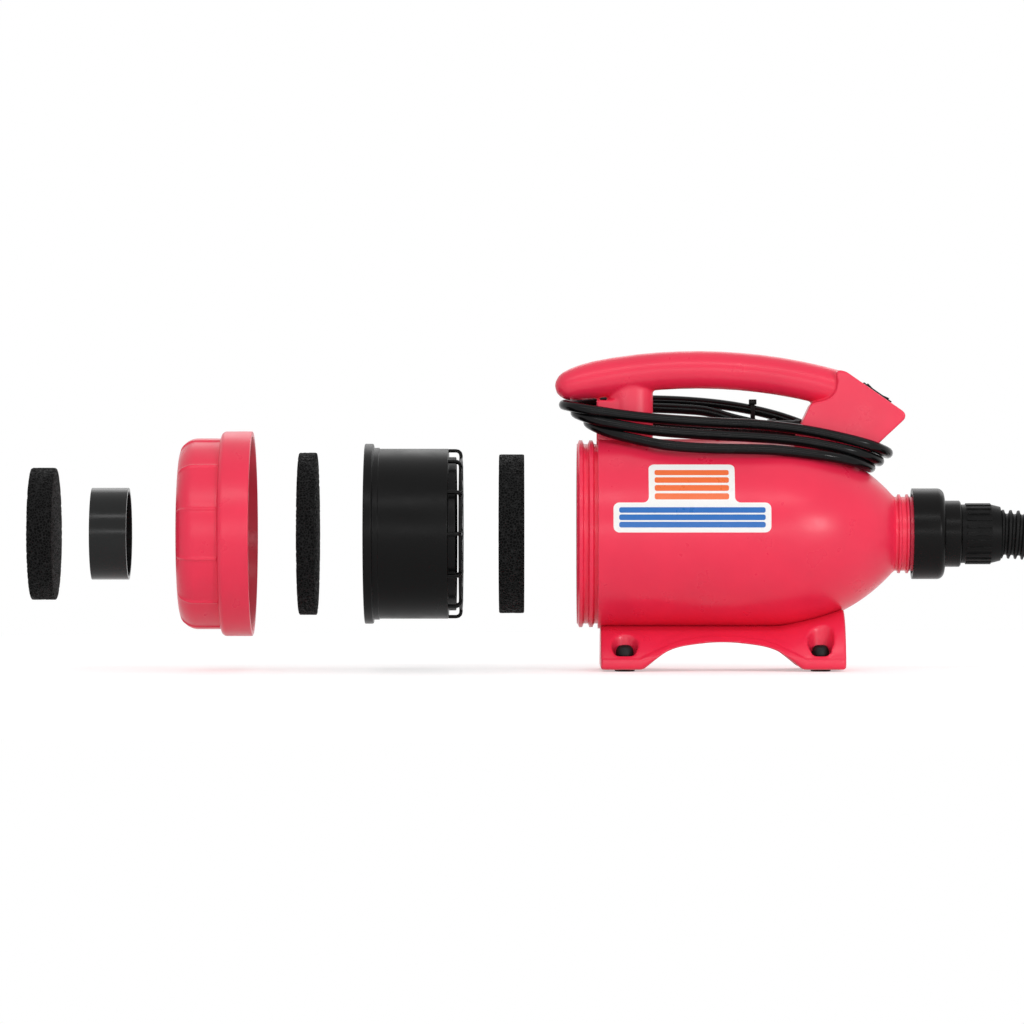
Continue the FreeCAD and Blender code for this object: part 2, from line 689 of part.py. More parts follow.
node("handle_screws", group("handle_screws", handle_screw_parts))

# Rocker switch: a box in the slope with a bezel, and the rocker on its pivot
pocket_length = d.rocker_length + 1.6
pocket_depth = 11.0
bezel = on_slope(
    box("bezel", (d.switch_length, d.switch_width, d.bezel_thick)),
    d.switch_along - d.switch_length / 2.0, -d.switch_width / 2.0, 0.0)
switch_box = on_slope(
    box("switch_box", (box_length, box_width, d.switch_depth)),
    d.switch_along - box_length / 2.0, -box_width / 2.0, -d.switch_depth)
pocket = on_slope(
    box("switch_pocket", (pocket_length, d.rocker_width + 0.4, pocket_depth + 5.0)),
    d.switch_along - pocket_length / 2.0, -(d.rocker_width + 0.4) / 2.0, -pocket_depth)
terminals = [
    on_slope(box(f"terminal_{index}", (0.8, 6.3, 8.0)), d.switch_along + 8.0 * index - 0.4, -3.15,
             -d.switch_depth - 8.0)
    for index in (-1, 0, 1)]
node("switch_body", cut(
    "switch_body", fuse("switch_blank", [bezel, switch_box, *terminals]), pocket))
pivot_depth = 4.0
rocker = padded("rocker", "XZ_Plane", [
    (-(d.rocker_length / 2.0 - 0.8), 6.8),
    (0.0 - 2.5, 5.2),
    (2.5, 5.2),
    (d.rocker_length / 2.0 - 0.8, 6.8),
    (d.rocker_length / 2.0 - 0.8, 2.0),
    (5.0, -4.5),
    (-5.0, -4.5),
    (-(d.rocker_length / 2.0 - 0.8), 2.0),
], d.rocker_width)
node("rocker", on_slope(rocker, d.switch_along, 0.0, -pivot_depth))

# Strain relief in the back of the leg
gland = tube("gland", d.gland_r, d.cord_d / 2.0, d.gland_length - 6.0, d.gland_x, d.gland_y,
             body_top + d.gland_z)
node("strain_relief", gland)

# The cap screws over the rear thread; its skirt and dome follow from that
cap_bore_r = thread_crest_r + d.cap_gap
cap_skirt_r = cap_bore_r + d.cap_skirt_wall
cap_dome_r = cap_skirt_r - d.cap_step

# Wound power cord: the outer shape of the hank, a sloping ring round post and leg
ring_prism = cut("hank_prism", padded("hank_outside", "XY_Plane", [
    (d.coil_rear_x, -(d.coil_outer - d.coil_corner), d.coil_rear_x + d.coil_corner),
    (d.coil_rear_x + d.coil_corner, -d.coil_outer),
    (d.coil_front_x - d.coil_corner, -d.coil_outer, d.coil_front_x - d.coil_corner),
    (d.coil_front_x, -(d.coil_outer - d.coil_corner)),
    (d.coil_front_x, d.coil_outer - d.coil_corner, d.coil_front_x - d.coil_corner),
    (d.coil_front_x - d.coil_corner, d.coil_outer),
    (d.coil_rear_x + d.coil_corner, d.coil_outer, d.coil_rear_x + d.coil_corner),
    (d.coil_rear_x, d.coil_outer - d.coil_corner),
], 160.0, z=body_top + d.coil_mid), padded("hank_inside", "XY_Plane", [
    (d.coil_rear_x + d.coil_end, -(d.coil_inner - 8.0), d.coil_rear_x + d.coil_end + 8.0),
    (d.coil_rear_x + d.coil_end + 8.0, -d.coil_inner),
    (d.coil_front_x - d.coil_end - 8.0, -d.coil_inner, d.coil_front_x - d.coil_end - 8.0),
    (d.coil_front_x - d.coil_end, -(d.coil_inner - 8.0)),
    (d.coil_front_x - d.coil_end, d.coil_inner - 8.0, d.coil_front_x - d.coil_end - 8.0),
    (d.coil_front_x - d.coil_end - 8.0, d.coil_inner),
    (d.coil_rear_x + d.coil_end + 8.0, d.coil_inner, d.coil_rear_x + d.coil_end + 8.0),
    (d.coil_rear_x + d.coil_end, d.coil_inner - 8.0),
], 170.0, z=body_top + d.coil_mid))
hank_turn = Rotation(Vector(1, 0, 0), number(d.coil_roll)).multiply(
    Rotation(Vector(0, 1, 0), number(d.coil_pitch)))
slab = box("hank_slab", (500.0, 200.0, d.coil_height))
slab_corner = hank_turn.multVec(Vector(-250.0, -100.0, -number(d.coil_height) / 2.0))
slab.Placement = FreeCAD.Placement(
    slab_corner + Vector(4.0, 0, number(body_top + d.coil_mid)), hank_turn)
cap_home = cylinder("cap_home", cap_skirt_r + d.play * 2.0, 80.0,
                    d.shoulder_x + 0.5 - 80.0, 0.0, d.axis_height)
leg_room = padded("leg_room", "XZ_Plane", head_outline, d.head_width + d.play * 4.0,
                  z=d.axis_height)
grip_room = grip_solid("grip_room", d.grip_r + d.play)
hank = cut("hank_under_grip", common("hank", [ring_prism, slab]),
           fuse("grip_rooms", grip_room))
node("cord_coil", cut("cord_coil", hank, fuse("hank_rooms", [
    body_form("hank_form", d.play, d.play), cap_home, leg_room])))


def bend_radii(points):
    """Largest arc at each inner corner of a route: 0.45 of the shorter run fits either side."""
    radii = []
    for before, corner, after in zip(points, points[1:], points[2:]):
        run_in, run_out = corner - before, after - corner
        half = run_in.getAngle(run_out) / 2
        radii.append(0.45 * min(run_in.Length, run_out.Length) / math.tan(half))
    return radii


def route_wire(points):
    """Straight runs joined by tangent arcs."""
    edges = []
    at = points[0]
    for before, corner, after in zip(points, points[1:], points[2:]):
        run_in, run_out = corner - before, after - corner
        back = 0.45 * min(run_in.Length, run_out.Length)
        half = run_in.getAngle(run_out) / 2
        into = corner - run_in.normalize() * back
        out = corner + run_out.normalize() * back
        inward = (into - corner + out - corner).normalize()
        depth = back * (1 / math.sin(half) - 1 / math.tan(half))
        edges.append(Part.LineSegment(at, into).toShape())
        edges.append(Part.Arc(into, corner + inward * depth, out).toShape())
        at = out
    edges.append(Part.LineSegment(at, points[-1]).toShape())
    return Part.Wire(edges)


def cord_tube(name, route, radius):
    """A plain round tube along a route given in the row frame."""
    points = [Vector(*point) for point in route]
    wire = route_wire(points)
    circle = Part.Wire([Part.makeCircle(radius, points[0], points[1] - points[0])])
    pipe = wire.makePipeShell([circle], True, False)
    thing = doc.addObject("Part::Feature", name)
    thing.Shape = pipe
    area = math.pi * radius ** 2
    radii = " ".join(f"{value:.0f}" for value in bend_radii(points))
    print(f"{name}: length {wire.Length:.1f}, radii {radii or 'straight'}, "
          f"volume ratio {pipe.Volume / (area * wire.Length):.4f}")
    return thing


cord_r = number(d.cord_d / 2.0)
top_z = number(body_top)
node("cord_lead", cord_tube("cord_lead", [
    (44.0, 6.0, top_z + 9.5), (20.0, 8.0, top_z + 11.5), (-1.0, 16.0, top_z + 15.5),
    (-16.0, 27.0, top_z + 19.5)], cord_r))
node("cord_tail", cord_tube("cord_tail", [
    (66.0, 39.0, top_z + 11.5), (44.0, 48.0, top_z + 8.5), (22.0, 58.0, top_z + 0.5),
    (2.0, 66.0, top_z - 8.5), (-20.0, 70.0, top_z - 14.5)], cord_r))

# Mains plug on the far side, its blades pointing back
plug_x = -20.0
plug_y = 70.0
plug_z = body_top - 14.5
plug_sleeve = doc.addObject("Part::Cone", "plug_sleeve")
bind(plug_sleeve, "Radius1", d.cord_d / 2.0 + 1.6)
bind(plug_sleeve, "Radius2", d.plug_r - 3.0)
plug_sleeve.Height = 14.0
place(plug_sleeve, plug_x, plug_y, plug_z, ALONG_MINUS_X)
plug_grip = cylinder("plug_grip", d.plug_r - 1.5, d.plug_length - 14.0, plug_x - 14.0, plug_y,
                     plug_z, ALONG_MINUS_X)
plug_end = plug_x - d.plug_length
plug_face = cylinder("plug_face", d.plug_r, 5.0, plug_end + 5.0, plug_y, plug_z, ALONG_MINUS_X)
node("plug_body", fuse("plug_body", [plug_sleeve, plug_grip, plug_face]))
blade_gap = 6.35
ground_drop = 8.0
blades = [
    box(f"blade_{side}", (d.blade_length, 1.5, 6.3), plug_end - d.blade_length,
        plug_y + blade_gap * side - 0.75, plug_z)
    for side in (-1, 1)]
blades.append(cylinder("ground_pin", 2.4, d.blade_length + 2.0, plug_end, plug_y,
                       plug_z - ground_drop + 2.0, ALONG_MINUS_X))
node("plug_blades", group("plug_blades", blades))

# Motor plate against its seat, with a rubber gasket between plate and fan cover
plate_x = seat_rear_x - d.plate_thick
plate_r = inner_r - 0.1
plate_screw_ring = seat_bore_r + d.seat_high / 2.0
plate_blank = tube("plate_blank", plate_r, d.plate_bore_r, d.plate_thick, plate_x, 0.0,
                   d.axis_height)
plate_angles = [45.0, 135.0, 225.0, 315.0]
plate_screw_r = 1.6


def round_axis(name, radius, length, x, ring_r, angle):
    """A rod parallel to the air axis, at an angle on a ring about it."""
    swing = math.radians(angle)
    return cylinder(name, radius, length, x, ring_r * math.cos(swing),
                    d.axis_height + ring_r * math.sin(swing))


plate_holes = [
    round_axis(f"plate_hole_{index}", plate_screw_r, 30.0, plate_x - 5.0, plate_screw_ring, angle)
    for index, angle in enumerate(plate_angles)]
node("motor_plate", cut("motor_plate", plate_blank, fuse("plate_holes", plate_holes)))
plate_screws = []
for index, angle in enumerate(plate_angles):
    head = round_axis(f"plate_head_{index}", 3.2, 2.2, plate_x - 2.2, plate_screw_ring, angle)
    shank = round_axis(f"plate_shank_{index}", plate_screw_r, d.plate_thick + d.seat_width,
                       plate_x, plate_screw_ring, angle)
    plate_screws.append(fuse(f"plate_screw_{index}", [head, shank]))
node("plate_screws", group("plate_screws", plate_screws))
seat_holes = [
    round_axis(f"seat_hole_{index}", plate_screw_r, 30.0, seat_rear_x - 5.0, plate_screw_ring, angle)
    for index, angle in enumerate(plate_angles)]
shell_holes.Shapes = [*shell_holes.Shapes, *seat_holes]
node("motor_gasket", tube("motor_gasket", d.plate_bore_r + 11.0, d.plate_bore_r + 2.0,
                          d.gasket_thick, seat_rear_x, 0.0, d.axis_height))

# Fan cover: a spun can with an inlet eye, open towards the motor
can_x = seat_rear_x + d.gasket_thick
can_r = inner_r - d.can_room
can_bore_r = can_r - d.can_wall
fan_r = can_bore_r - d.fan_gap
node("fan_cover", turned("fan_cover", [
    (can_x, d.eye_r), (can_x, can_r), (can_x + d.can_length, can_r),
    (can_x + d.can_length, can_bore_r), (can_x + d.can_wall, can_bore_r),
    (can_x + d.can_wall, d.eye_r)]))

# Impeller: two discs with curved vanes between them, clamped on the shaft
fan_x = can_x + d.can_wall + 1.6
fan_back_x = fan_x + d.fan_thick - d.fan_disc
shaft_bore_r = d.shaft_r
front_disc = tube("fan_front_disc", fan_r, d.eye_r - 1.0, d.fan_disc, fan_x, 0.0, d.axis_height)
back_disc = tube("fan_back_disc", fan_r, shaft_bore_r, d.fan_disc, fan_back_x, 0.0,
                 d.axis_height)
vane_length = fan_r - d.eye_r - 2.0
vane_lean = 28.0
vanes = []
for index in range(int(number(d.vane_count))):
    turn = Rotation(Vector(1, 0, 0), 360.0 / number(d.vane_count) * index)
    lean = turn.multiply(Rotation(Vector(1, 0, 0), vane_lean))
    root = turn.multVec(Vector(number(fan_x), 0, number(d.eye_r) + 0.5))
    vane = box(f"vane_{index}", (d.fan_thick, d.fan_disc, vane_length))
    vane.Placement = FreeCAD.Placement(root + Vector(0, 0, number(d.axis_height)), lean)
    vanes.append(vane)
hub = tube("fan_hub", d.shaft_r + 4.0, shaft_bore_r, 6.0, fan_back_x - 6.0, 0.0, d.axis_height)
node("impeller", fuse("impeller", [front_disc, back_disc, hub, *vanes]))
nut_width = 4.0
node("impeller_nut", tube("impeller_nut", d.shaft_r + 3.0, d.shaft_r, nut_width,
                          fan_back_x - 6.0 - nut_width, 0.0, d.axis_height))

# Motor frame: a flanged tube that closes the fan cover and carries both bearings
flange_x = can_x + d.can_length - 3.0
frame_x = flange_x + 3.0
frame_end_x = frame_x + d.frame_length
diffuser_x = fan_back_x + d.fan_disc + 1.4
node("diffuser", turned("diffuser", [
    (diffuser_x, d.shaft_r + 10.0), (diffuser_x, can_bore_r - 4.0),
    (flange_x, can_bore_r - 4.0), (flange_x, d.shaft_r + 10.0)]))
rear_bearing_x = diffuser_x + 0.6
housing_r = d.bearing_r + 2.5
frame_turn = turned("frame_turn", [
    (rear_bearing_x, d.bearing_r), (rear_bearing_x, d.shaft_r + 9.8),
    (flange_x, d.shaft_r + 9.8), (flange_x, can_bore_r),
    (flange_x + 3.0, can_bore_r), (flange_x + 3.0, d.frame_r),
    (frame_end_x, d.frame_r), (frame_end_x, housing_r),
    (frame_end_x + 9.0, housing_r), (frame_end_x + 9.0, d.shaft_r + 1.5),
    (frame_end_x + 7.0, d.shaft_r + 1.5), (frame_end_x + 7.0, d.bearing_r),
    (frame_end_x - d.frame_wall, d.bearing_r), (frame_end_x - d.frame_wall, d.core_r),
    (flange_x + 3.0, d.core_r), (flange_x + 3.0, d.bearing_r)])
window_length = d.frame_length - d.core_length - 16.0
frame_windows = []
for index in range(4):
    turn = Rotation(Vector(1, 0, 0), 90.0 * index + 45.0)
    window = box(f"frame_window_{index}", (window_length, 34.0, 60.0))
    corner = turn.multVec(Vector(0, -17.0, 20.0))
    window.Placement = FreeCAD.Placement(
        corner + Vector(number(frame_x + d.core_length + 8.0), 0, number(d.axis_height)), turn)
    frame_windows.append(window)
    vent = box(f"frame_vent_{index}", (20.0, 24.0, 16.0))
    corner = turn.multVec(Vector(0, -12.0, 20.0))
    vent.Placement = FreeCAD.Placement(
        corner + Vector(number(flange_x - 5.0), 0, number(d.axis_height)), turn)
    frame_windows.append(vent)
node("motor_frame", cut("motor_frame", frame_turn, fuse("frame_windows", frame_windows)))

# Field: laminated core with two poles, and a coil on each side of them
core_x = frame_x + 6.0
core_ring = tube("core_ring", d.core_r - 0.1, d.core_r - 8.0, d.core_length, core_x, 0.0,
                 d.axis_height)
pole_blank = tube("pole_blank", d.core_r - 7.0, d.core_bore_r, d.core_length, core_x, 0.0,
                  d.axis_height)
pole_slot = box("pole_slot", (200.0, 44.0, 200.0), core_x - 50.0, -22.0, d.axis_height - 100.0)
poles = cut("poles", pole_blank, pole_slot)
node("field_core", fuse("field_core", [core_ring, poles]))
coil_over = 5.0
coil_blank = tube("coil_blank", d.core_r - 9.0, d.core_bore_r + 1.6, d.core_length + coil_over * 2.0,
                  core_x - coil_over, 0.0, d.axis_height)
coil_slot = box("coil_slot", (200.0, 42.0, 200.0), core_x - 50.0, -21.0, d.axis_height - 100.0)
field_coils = common("field_coil_pair", [coil_blank, coil_slot])
node("field_coils", field_coils)

# Armature: laminated core, end windings, commutator and shaft
armature_x = core_x + 0.5
armature_length = d.core_length - 1.0
slots = []
for index in range(12):
    turn = Rotation(Vector(1, 0, 0), 30.0 * index)
    opening = box(f"armature_slot_{index}", (60.0, 2.4, 8.0))
    corner = turn.multVec(Vector(0, -1.2, number(d.armature_r) - 7.0))
    opening.Placement = FreeCAD.Placement(
        corner + Vector(number(armature_x) - 10.0, 0, number(d.axis_height)), turn)
    slots.append(opening)
node("armature_core", cut(
    "armature_core", tube("armature_blank", d.armature_r, d.shaft_r, armature_length, armature_x,
                          0.0, d.axis_height), fuse("armature_slots", slots)))
winding_over = 5.0
windings = []
for side, x in (("rear", armature_x - winding_over), ("front", armature_x + armature_length)):
    windings.append(tube(f"winding_{side}", d.armature_r - 3.0, d.shaft_r + 0.5, winding_over, x,
                         0.0, d.axis_height))
node("armature_windings", group("armature_windings", windings))
commutator_x = armature_x + armature_length + winding_over + 1.0
commutator_length = 14.0
node("commutator", tube("commutator", d.commutator_r, d.shaft_r, commutator_length, commutator_x,
                        0.0, d.axis_height))
shaft_start = fan_back_x - 6.0 - nut_width - 1.5
front_bearing_x = frame_end_x - d.frame_wall + 3.0
shaft_end = front_bearing_x + d.bearing_width + 0.8
node("shaft", cylinder("shaft", d.shaft_r, shaft_end - shaft_start, shaft_start, 0.0,
                       d.axis_height))
bearing_parts = []
for side, x in (("rear", rear_bearing_x + 1.0), ("front", front_bearing_x)):
    bearing_parts.append(tube(f"bearing_{side}", d.bearing_r - 0.02, d.shaft_r + d.fit,
                              d.bearing_width, x, 0.0, d.axis_height))
node("bearings", group("bearings", bearing_parts))

# Brushes press on the commutator from both sides, in brass holders
brush_x = commutator_x + 3.0
brush_length = 18.0
brush_size = 7.0
holder_wall = 1.2
holder_length = d.core_r - d.commutator_r - 4.2
brushes = []
holders = []
for index, side in enumerate((-1, 1)):
    turn = Rotation(Vector(1, 0, 0), 90.0 * side)
    for wall, start, long, kept in (
            (0.0, d.commutator_r + 0.4, brush_length, brushes),
            (holder_wall, d.commutator_r + 4.0, holder_length, holders)):
        wide = brush_size + wall * 2.0
        block = box(f"brush_{index}_{wall:g}", (wide, wide, long))
        corner = turn.multVec(Vector(-wall, -wide / 2.0, number(start)))
        block.Placement = FreeCAD.Placement(
            corner + Vector(number(brush_x), 0, number(d.axis_height)), turn)
        if wall:
            room = box(f"brush_room_{index}", (brush_size, brush_size, brush_length + 0.5))
            corner = turn.multVec(Vector(0, -brush_size / 2.0, number(start) - 4.0))
            room.Placement = FreeCAD.Placement(
                corner + Vector(number(brush_x), 0, number(d.axis_height)), turn)
            block = cut(f"brush_holder_{index}", block, room)
        kept.append(block)
node("brushes", group("brushes", brushes))
node("brush_holders", group("brush_holders", holders))

# Front mount: a rubber boot on the motor's nose, held by a spider with three arms
boot_x = frame_end_x + 1.0
boot_length = 7.0
node("front_boot", tube("front_boot", housing_r + 4.0, housing_r, boot_length, boot_x, 0.0,
                        d.axis_height))
spider_ring = tube("spider_ring", housing_r + 7.0, housing_r + 4.0, boot_length, boot_x, 0.0,
                   d.axis_height)
arms = []
for index in range(3):
    turn = Rotation(Vector(1, 0, 0), 120.0 * index + 180.0)
    arm = box(f"spider_arm_{index}", (boot_length, 8.0, 80.0))
    corner = turn.multVec(Vector(0, -4.0, number(housing_r) + 5.0))
    arm.Placement = FreeCAD.Placement(
        corner + Vector(number(boot_x), 0, number(d.axis_height)), turn)
    arms.append(arm)
dome_inside = turned("dome_inside", [
    (d.dome_x, 0.0), (d.dome_x, inner_r - 0.05, d.dome_x), (d.dome_end_x, neck_bore_r - 0.05),
    (d.dome_end_x, 0.0)])
arms_cut = common("spider_arms", [fuse("spider_arm_set", arms), dome_inside])
node("front_mount", fuse("front_mount", [spider_ring, arms_cut]))

# Two leads run from the motor through the body's top to the switch terminals
wire_r = 1.3
wires = []
for side, route in (
        ("a", [(57.0, 9.0, 52.5), (76.0, 9.0, 58.0), (92.0, 6.0, 66.0), (98.0, 3.0, 78.0),
               (106.0, 1.0, 92.0), (111.2, 0.0, 101.6)]),
        ("b", [(57.0, -9.0, 52.5), (76.0, -9.0, 58.0), (92.0, -6.0, 66.0), (102.0, -3.0, 76.0),
               (115.0, -1.0, 86.0), (124.0, 0.0, 92.6)])):
    raised = [(x, y, number(d.axis_height) + z) for x, y, z in route]
    wires.append(cord_tube(f"lead_{side}", raised, wire_r))
node("lead_wires", group("lead_wires", wires))

# Screw collar on the neck, with a rubber gasket against the neck's end
web_x = d.neck_end_x + 2.6
lip_room_x = web_x + 0.4
collar_front = d.collar_x + d.collar_length
step_front = collar_front + d.collar_step
collar_bore = d.neck_crest_r + 0.5
lip_r = d.cuff_r + 1.0
tail_r = d.cuff_r - 2.0
lip_wide = 4.5
lip_end_x = lip_room_x + 11.0
node("collar", turned("collar", [
    (d.collar_x, collar_bore), (d.collar_x, d.collar_r),
    (collar_front - 6.0, d.collar_r, collar_front - 6.0), (collar_front, d.collar_r - 6.0),
    (collar_front, d.collar_step_r), (step_front - 1.0, d.collar_step_r),
    (step_front, d.collar_step_r - 1.0), (step_front, tail_r + d.play),
    (lip_end_x, tail_r + d.play), (lip_end_x, lip_r + d.play),
    (web_x, lip_r + d.play), (web_x, collar_bore)]))
node("collar_gasket", tube("collar_gasket", d.neck_r, neck_bore_r, 2.2, d.neck_end_x + 0.2, 0.0,
                           d.axis_height))

# Ribbed hose cuff that turns in the collar
cuff_start = web_x + 0.8
hose_bore = d.hose_r + d.play
airway_r = d.hose_r - 1.5
cuff_rib_x = step_front + 0.6
rib_count = 24
rib_high = 1.0
cuff_turn = turned("cuff_turn", [
    (cuff_start, airway_r), (cuff_start, lip_r), (cuff_start + lip_wide, lip_r),
    (cuff_start + lip_wide, tail_r), (cuff_rib_x, tail_r), (cuff_rib_x, d.cuff_r - rib_high),
    (d.cuff_end_x - 8.0, d.cuff_r - rib_high), (d.cuff_end_x, d.cuff_r - 3.0),
    (d.cuff_end_x, hose_bore), (d.cuff_end_x - d.hose_tail - 0.3, hose_bore),
    (d.cuff_end_x - d.hose_tail - 0.3, airway_r)])


def cuff_ribs(name, start, length, count):
    """Lengthwise grip ribs round a cuff whose axis is local X."""
    ribs = []
    for index in range(count):
        turn = Rotation(Vector(1, 0, 0), 360.0 / count * index)
        rib = box(f"{name}_{index}", (length, 3.0, rib_high + 0.8))
        corner = turn.multVec(Vector(0, -1.5, number(d.cuff_r) - rib_high - 0.8))
        rib.Placement = FreeCAD.Placement(
            corner + Vector(number(start), 0, number(d.axis_height)), turn)
        ribs.append(rib)
    return ribs


node("hose_cuff", fuse("hose_cuff", [
    cuff_turn,
    *cuff_ribs("cuff_rib", cuff_rib_x + 4.0, d.cuff_end_x - cuff_rib_x - 12.5, rib_count)]))

# Stretch hose: out along the air axis, down to the floor and round in a loop
hose_route = [
    (228.0, 0.0, 117.0), (280.0, 0.0, 117.0), (342.0, -12.0, 92.0), (395.0, -29.0, 55.0),
    (454.0, -38.5, 29.0), (520.0, -36.5, 21.3), (582.0, -9.0, 21.3), (627.0, 43.0, 21.3),
    (645.0, 111.0, 21.3), (631.0, 182.0, 21.3), (585.0, 241.0, 21.3), (520.0, 275.0, 23.0),
    (454.0, 280.0, 26.6)]
node("hose", cord_tube("hose", hose_route, number(d.hose_r)))

# Far end of the hose: a plain cuff and a tapered nozzle, lying on the floor
hose_end = Vector(*hose_route[-1])
hose_way = hose_end - Vector(*hose_route[-2])
hose_way.z = 0.0
end_turn = Rotation(Vector(1, 0, 0), hose_way)


def at_hose_end(thing):
    """Place a piece whose local X leaves the hose."""
    thing.setExpression("Placement.Base.z", None)
    thing.Placement = FreeCAD.Placement(hose_end, end_turn)
    return thing


end_cuff_length = 40.0
end_stop = 1.0
nozzle_tail = 16.0
node("hose_end_cuff", at_hose_end(turned("hose_end_cuff", [
    (-d.hose_tail, hose_bore), (-d.hose_tail, d.cuff_r - 2.0), (4.0 - d.hose_tail, d.cuff_r),
    (end_cuff_length - 3.0, d.cuff_r), (end_cuff_length, d.cuff_r - 2.0),
    (end_cuff_length, hose_bore), (end_stop + 2.5, hose_bore), (end_stop + 2.5, airway_r),
    (end_stop, airway_r), (end_stop, hose_bore)])))
nozzle_start = end_cuff_length - nozzle_tail
nozzle_shoulder = end_cuff_length + 0.3
cone_end = nozzle_shoulder + d.nozzle_length
nozzle_wall = 2.2
node("nozzle", at_hose_end(turned("nozzle", [
    (nozzle_start, d.hose_r - nozzle_wall), (nozzle_start, d.hose_r),
    (nozzle_shoulder, d.hose_r), (nozzle_shoulder, d.cuff_r - 1.0),
    (nozzle_shoulder + 8.0, d.cuff_r - 1.0), (cone_end, d.nozzle_r),
    (cone_end + d.nozzle_tip, d.nozzle_r), (cone_end + d.nozzle_tip, d.nozzle_r - nozzle_wall),
    (cone_end, d.nozzle_r - nozzle_wall), (nozzle_shoulder + 8.0, d.hose_r - nozzle_wall)])))

# Rear cap: fluted dome with a foam recess and an inlet port, and a plain skirt
cap_mouth_home = d.shoulder_x - 0.5
basket_mouth_home = d.rim_x - d.play - d.flange_depth
rib_face = d.cap_length - (cap_mouth_home - basket_mouth_home + d.play)
dome_bore_r = cap_dome_r - d.cap_wall
cap_rib_r = dome_bore_r - d.cap_rib_high
skirt_floor = d.cap_step_x + d.cap_wall
well_floor = d.well_depth + d.cap_wall
port_outer = d.port_r + d.port_wall
port_end = d.well_depth + d.port_length
cap_turn = turned("cap_turn", [
    (0.0, d.well_r), (0.0, cap_dome_r - d.cap_corner, d.cap_corner),
    (d.cap_corner, cap_dome_r), (d.cap_step_x, cap_dome_r),
    (d.cap_step_x, cap_skirt_r - d.cap_skirt_round, d.cap_step_x + d.cap_skirt_round),
    (d.cap_step_x + d.cap_skirt_round, cap_skirt_r), (d.cap_length, cap_skirt_r),
    (d.cap_length, cap_bore_r), (skirt_floor, cap_bore_r), (skirt_floor, dome_bore_r),
    (rib_face, dome_bore_r), (rib_face, cap_rib_r), (rib_face - d.cap_rib, cap_rib_r),
    (rib_face - d.cap_rib, dome_bore_r), (d.cap_corner, dome_bore_r, d.cap_corner),
    (d.cap_wall, cap_dome_r - d.cap_corner), (d.cap_wall, d.well_r + d.cap_wall),
    (well_floor, d.well_r + d.cap_wall), (well_floor, port_outer), (port_end, port_outer),
    (port_end, d.port_r), (d.well_depth, d.port_r), (d.well_depth, d.well_r)], d.cap_x)
flute_count = 12
groove_set = []
for index in range(flute_count):
    turn = Rotation(Vector(1, 0, 0), 360.0 / flute_count * index + 15.0)
    rib = box(f"cap_ridge_{index}", (d.cap_step_x - d.cap_corner, 1.6, 1.6))
    corner = turn.multVec(Vector(0, -0.8, number(cap_dome_r) - 1.0))
    rib.Placement = FreeCAD.Placement(
        corner + Vector(number(d.cap_x + d.cap_corner), 0, number(d.axis_height)), turn)
    groove_set.append(rib)
node("rear_cap", fuse("rear_cap", [cap_turn, *groove_set]))

# Loose ring that plugs into the inlet port
node("port_ring", tube("port_ring", d.ring_r, d.ring_r - d.ring_wall, d.ring_length, d.ring_x,
                       0.0, d.axis_height))

# Filter basket: rolled flange, drum, foam ledge and a cage of bent posts
basket_r = rim_bore_r - d.basket_gap
flange_r = thread_root_r + d.flange_proud
drum_bore = basket_r - d.basket_wall
drum = turned("basket_turn", [
    (0.0, flange_r - 2.0), (0.0, flange_r), (d.flange_depth, flange_r),
    (d.flange_depth, basket_r), (d.drum_length, basket_r), (d.drum_length, d.lip_r),
    (d.drum_length + d.lip_length, d.lip_r),
    (d.drum_length + d.lip_length, d.lip_r - d.basket_wall),
    (d.drum_length - d.basket_wall, d.lip_r - d.basket_wall),
    (d.drum_length - d.basket_wall, drum_bore),
    (d.ledge_depth + 2.0, drum_bore), (d.ledge_depth + 2.0, d.ledge_r),
    (d.ledge_depth, d.ledge_r), (d.ledge_depth, drum_bore),
    (d.flange_depth - d.flange_thick, drum_bore),
    (d.flange_depth - d.flange_thick, flange_r - 2.0)], d.basket_x)
drum_end_x = d.basket_x + d.drum_length
cage_end_x = drum_end_x + d.cage_length
cage_parts = [
    cylinder("cage_hub", d.cage_hub_r, d.cage_bar, cage_end_x - d.cage_bar, 0.0, d.axis_height),
    tube("cage_hoop_mid", 46.0, 43.0, d.cage_bar, cage_end_x - d.cage_bar, 0.0, d.axis_height),
    tube("cage_hoop_outer", d.cage_hoop_r, d.cage_hoop_r - d.cage_bar, d.cage_bar,
         cage_end_x - d.cage_bar, 0.0, d.axis_height)]
for index in range(int(number(d.cage_count))):
    turn = Rotation(Vector(1, 0, 0), 360.0 / number(d.cage_count) * index)
    post = box(f"cage_post_{index}", (d.cage_length + 3.0, d.cage_bar, d.cage_bar))
    corner = turn.multVec(Vector(0, -number(d.cage_bar) / 2.0, number(basket_r) - 3.4))
    post.Placement = FreeCAD.Placement(
        corner + Vector(number(drum_end_x) - 3.0, 0, number(d.axis_height)), turn)
    spoke = box(f"cage_spoke_{index}", (d.cage_bar, d.cage_bar, basket_r - 15.0))
    corner = turn.multVec(Vector(0, -number(d.cage_bar) / 2.0, 14.0))
    spoke.Placement = FreeCAD.Placement(
        corner + Vector(number(cage_end_x - d.cage_bar), 0, number(d.axis_height)), turn)
    cage_parts += [post, spoke]
node("filter_basket", fuse("filter_basket", [drum, *cage_parts]))

# Foam filters
for name, x, radius, thick in (
        ("inlet_foam", d.inlet_foam_x, d.inlet_foam_r, d.inlet_foam_thick),
        ("basket_foam", d.basket_foam_x, d.basket_foam_r, d.basket_foam_thick),
        ("motor_foam", d.motor_foam_x, d.motor_foam_r, d.motor_foam_thick)):
    node(name, cylinder(name, radius, thick, x, 0.0, d.axis_height))


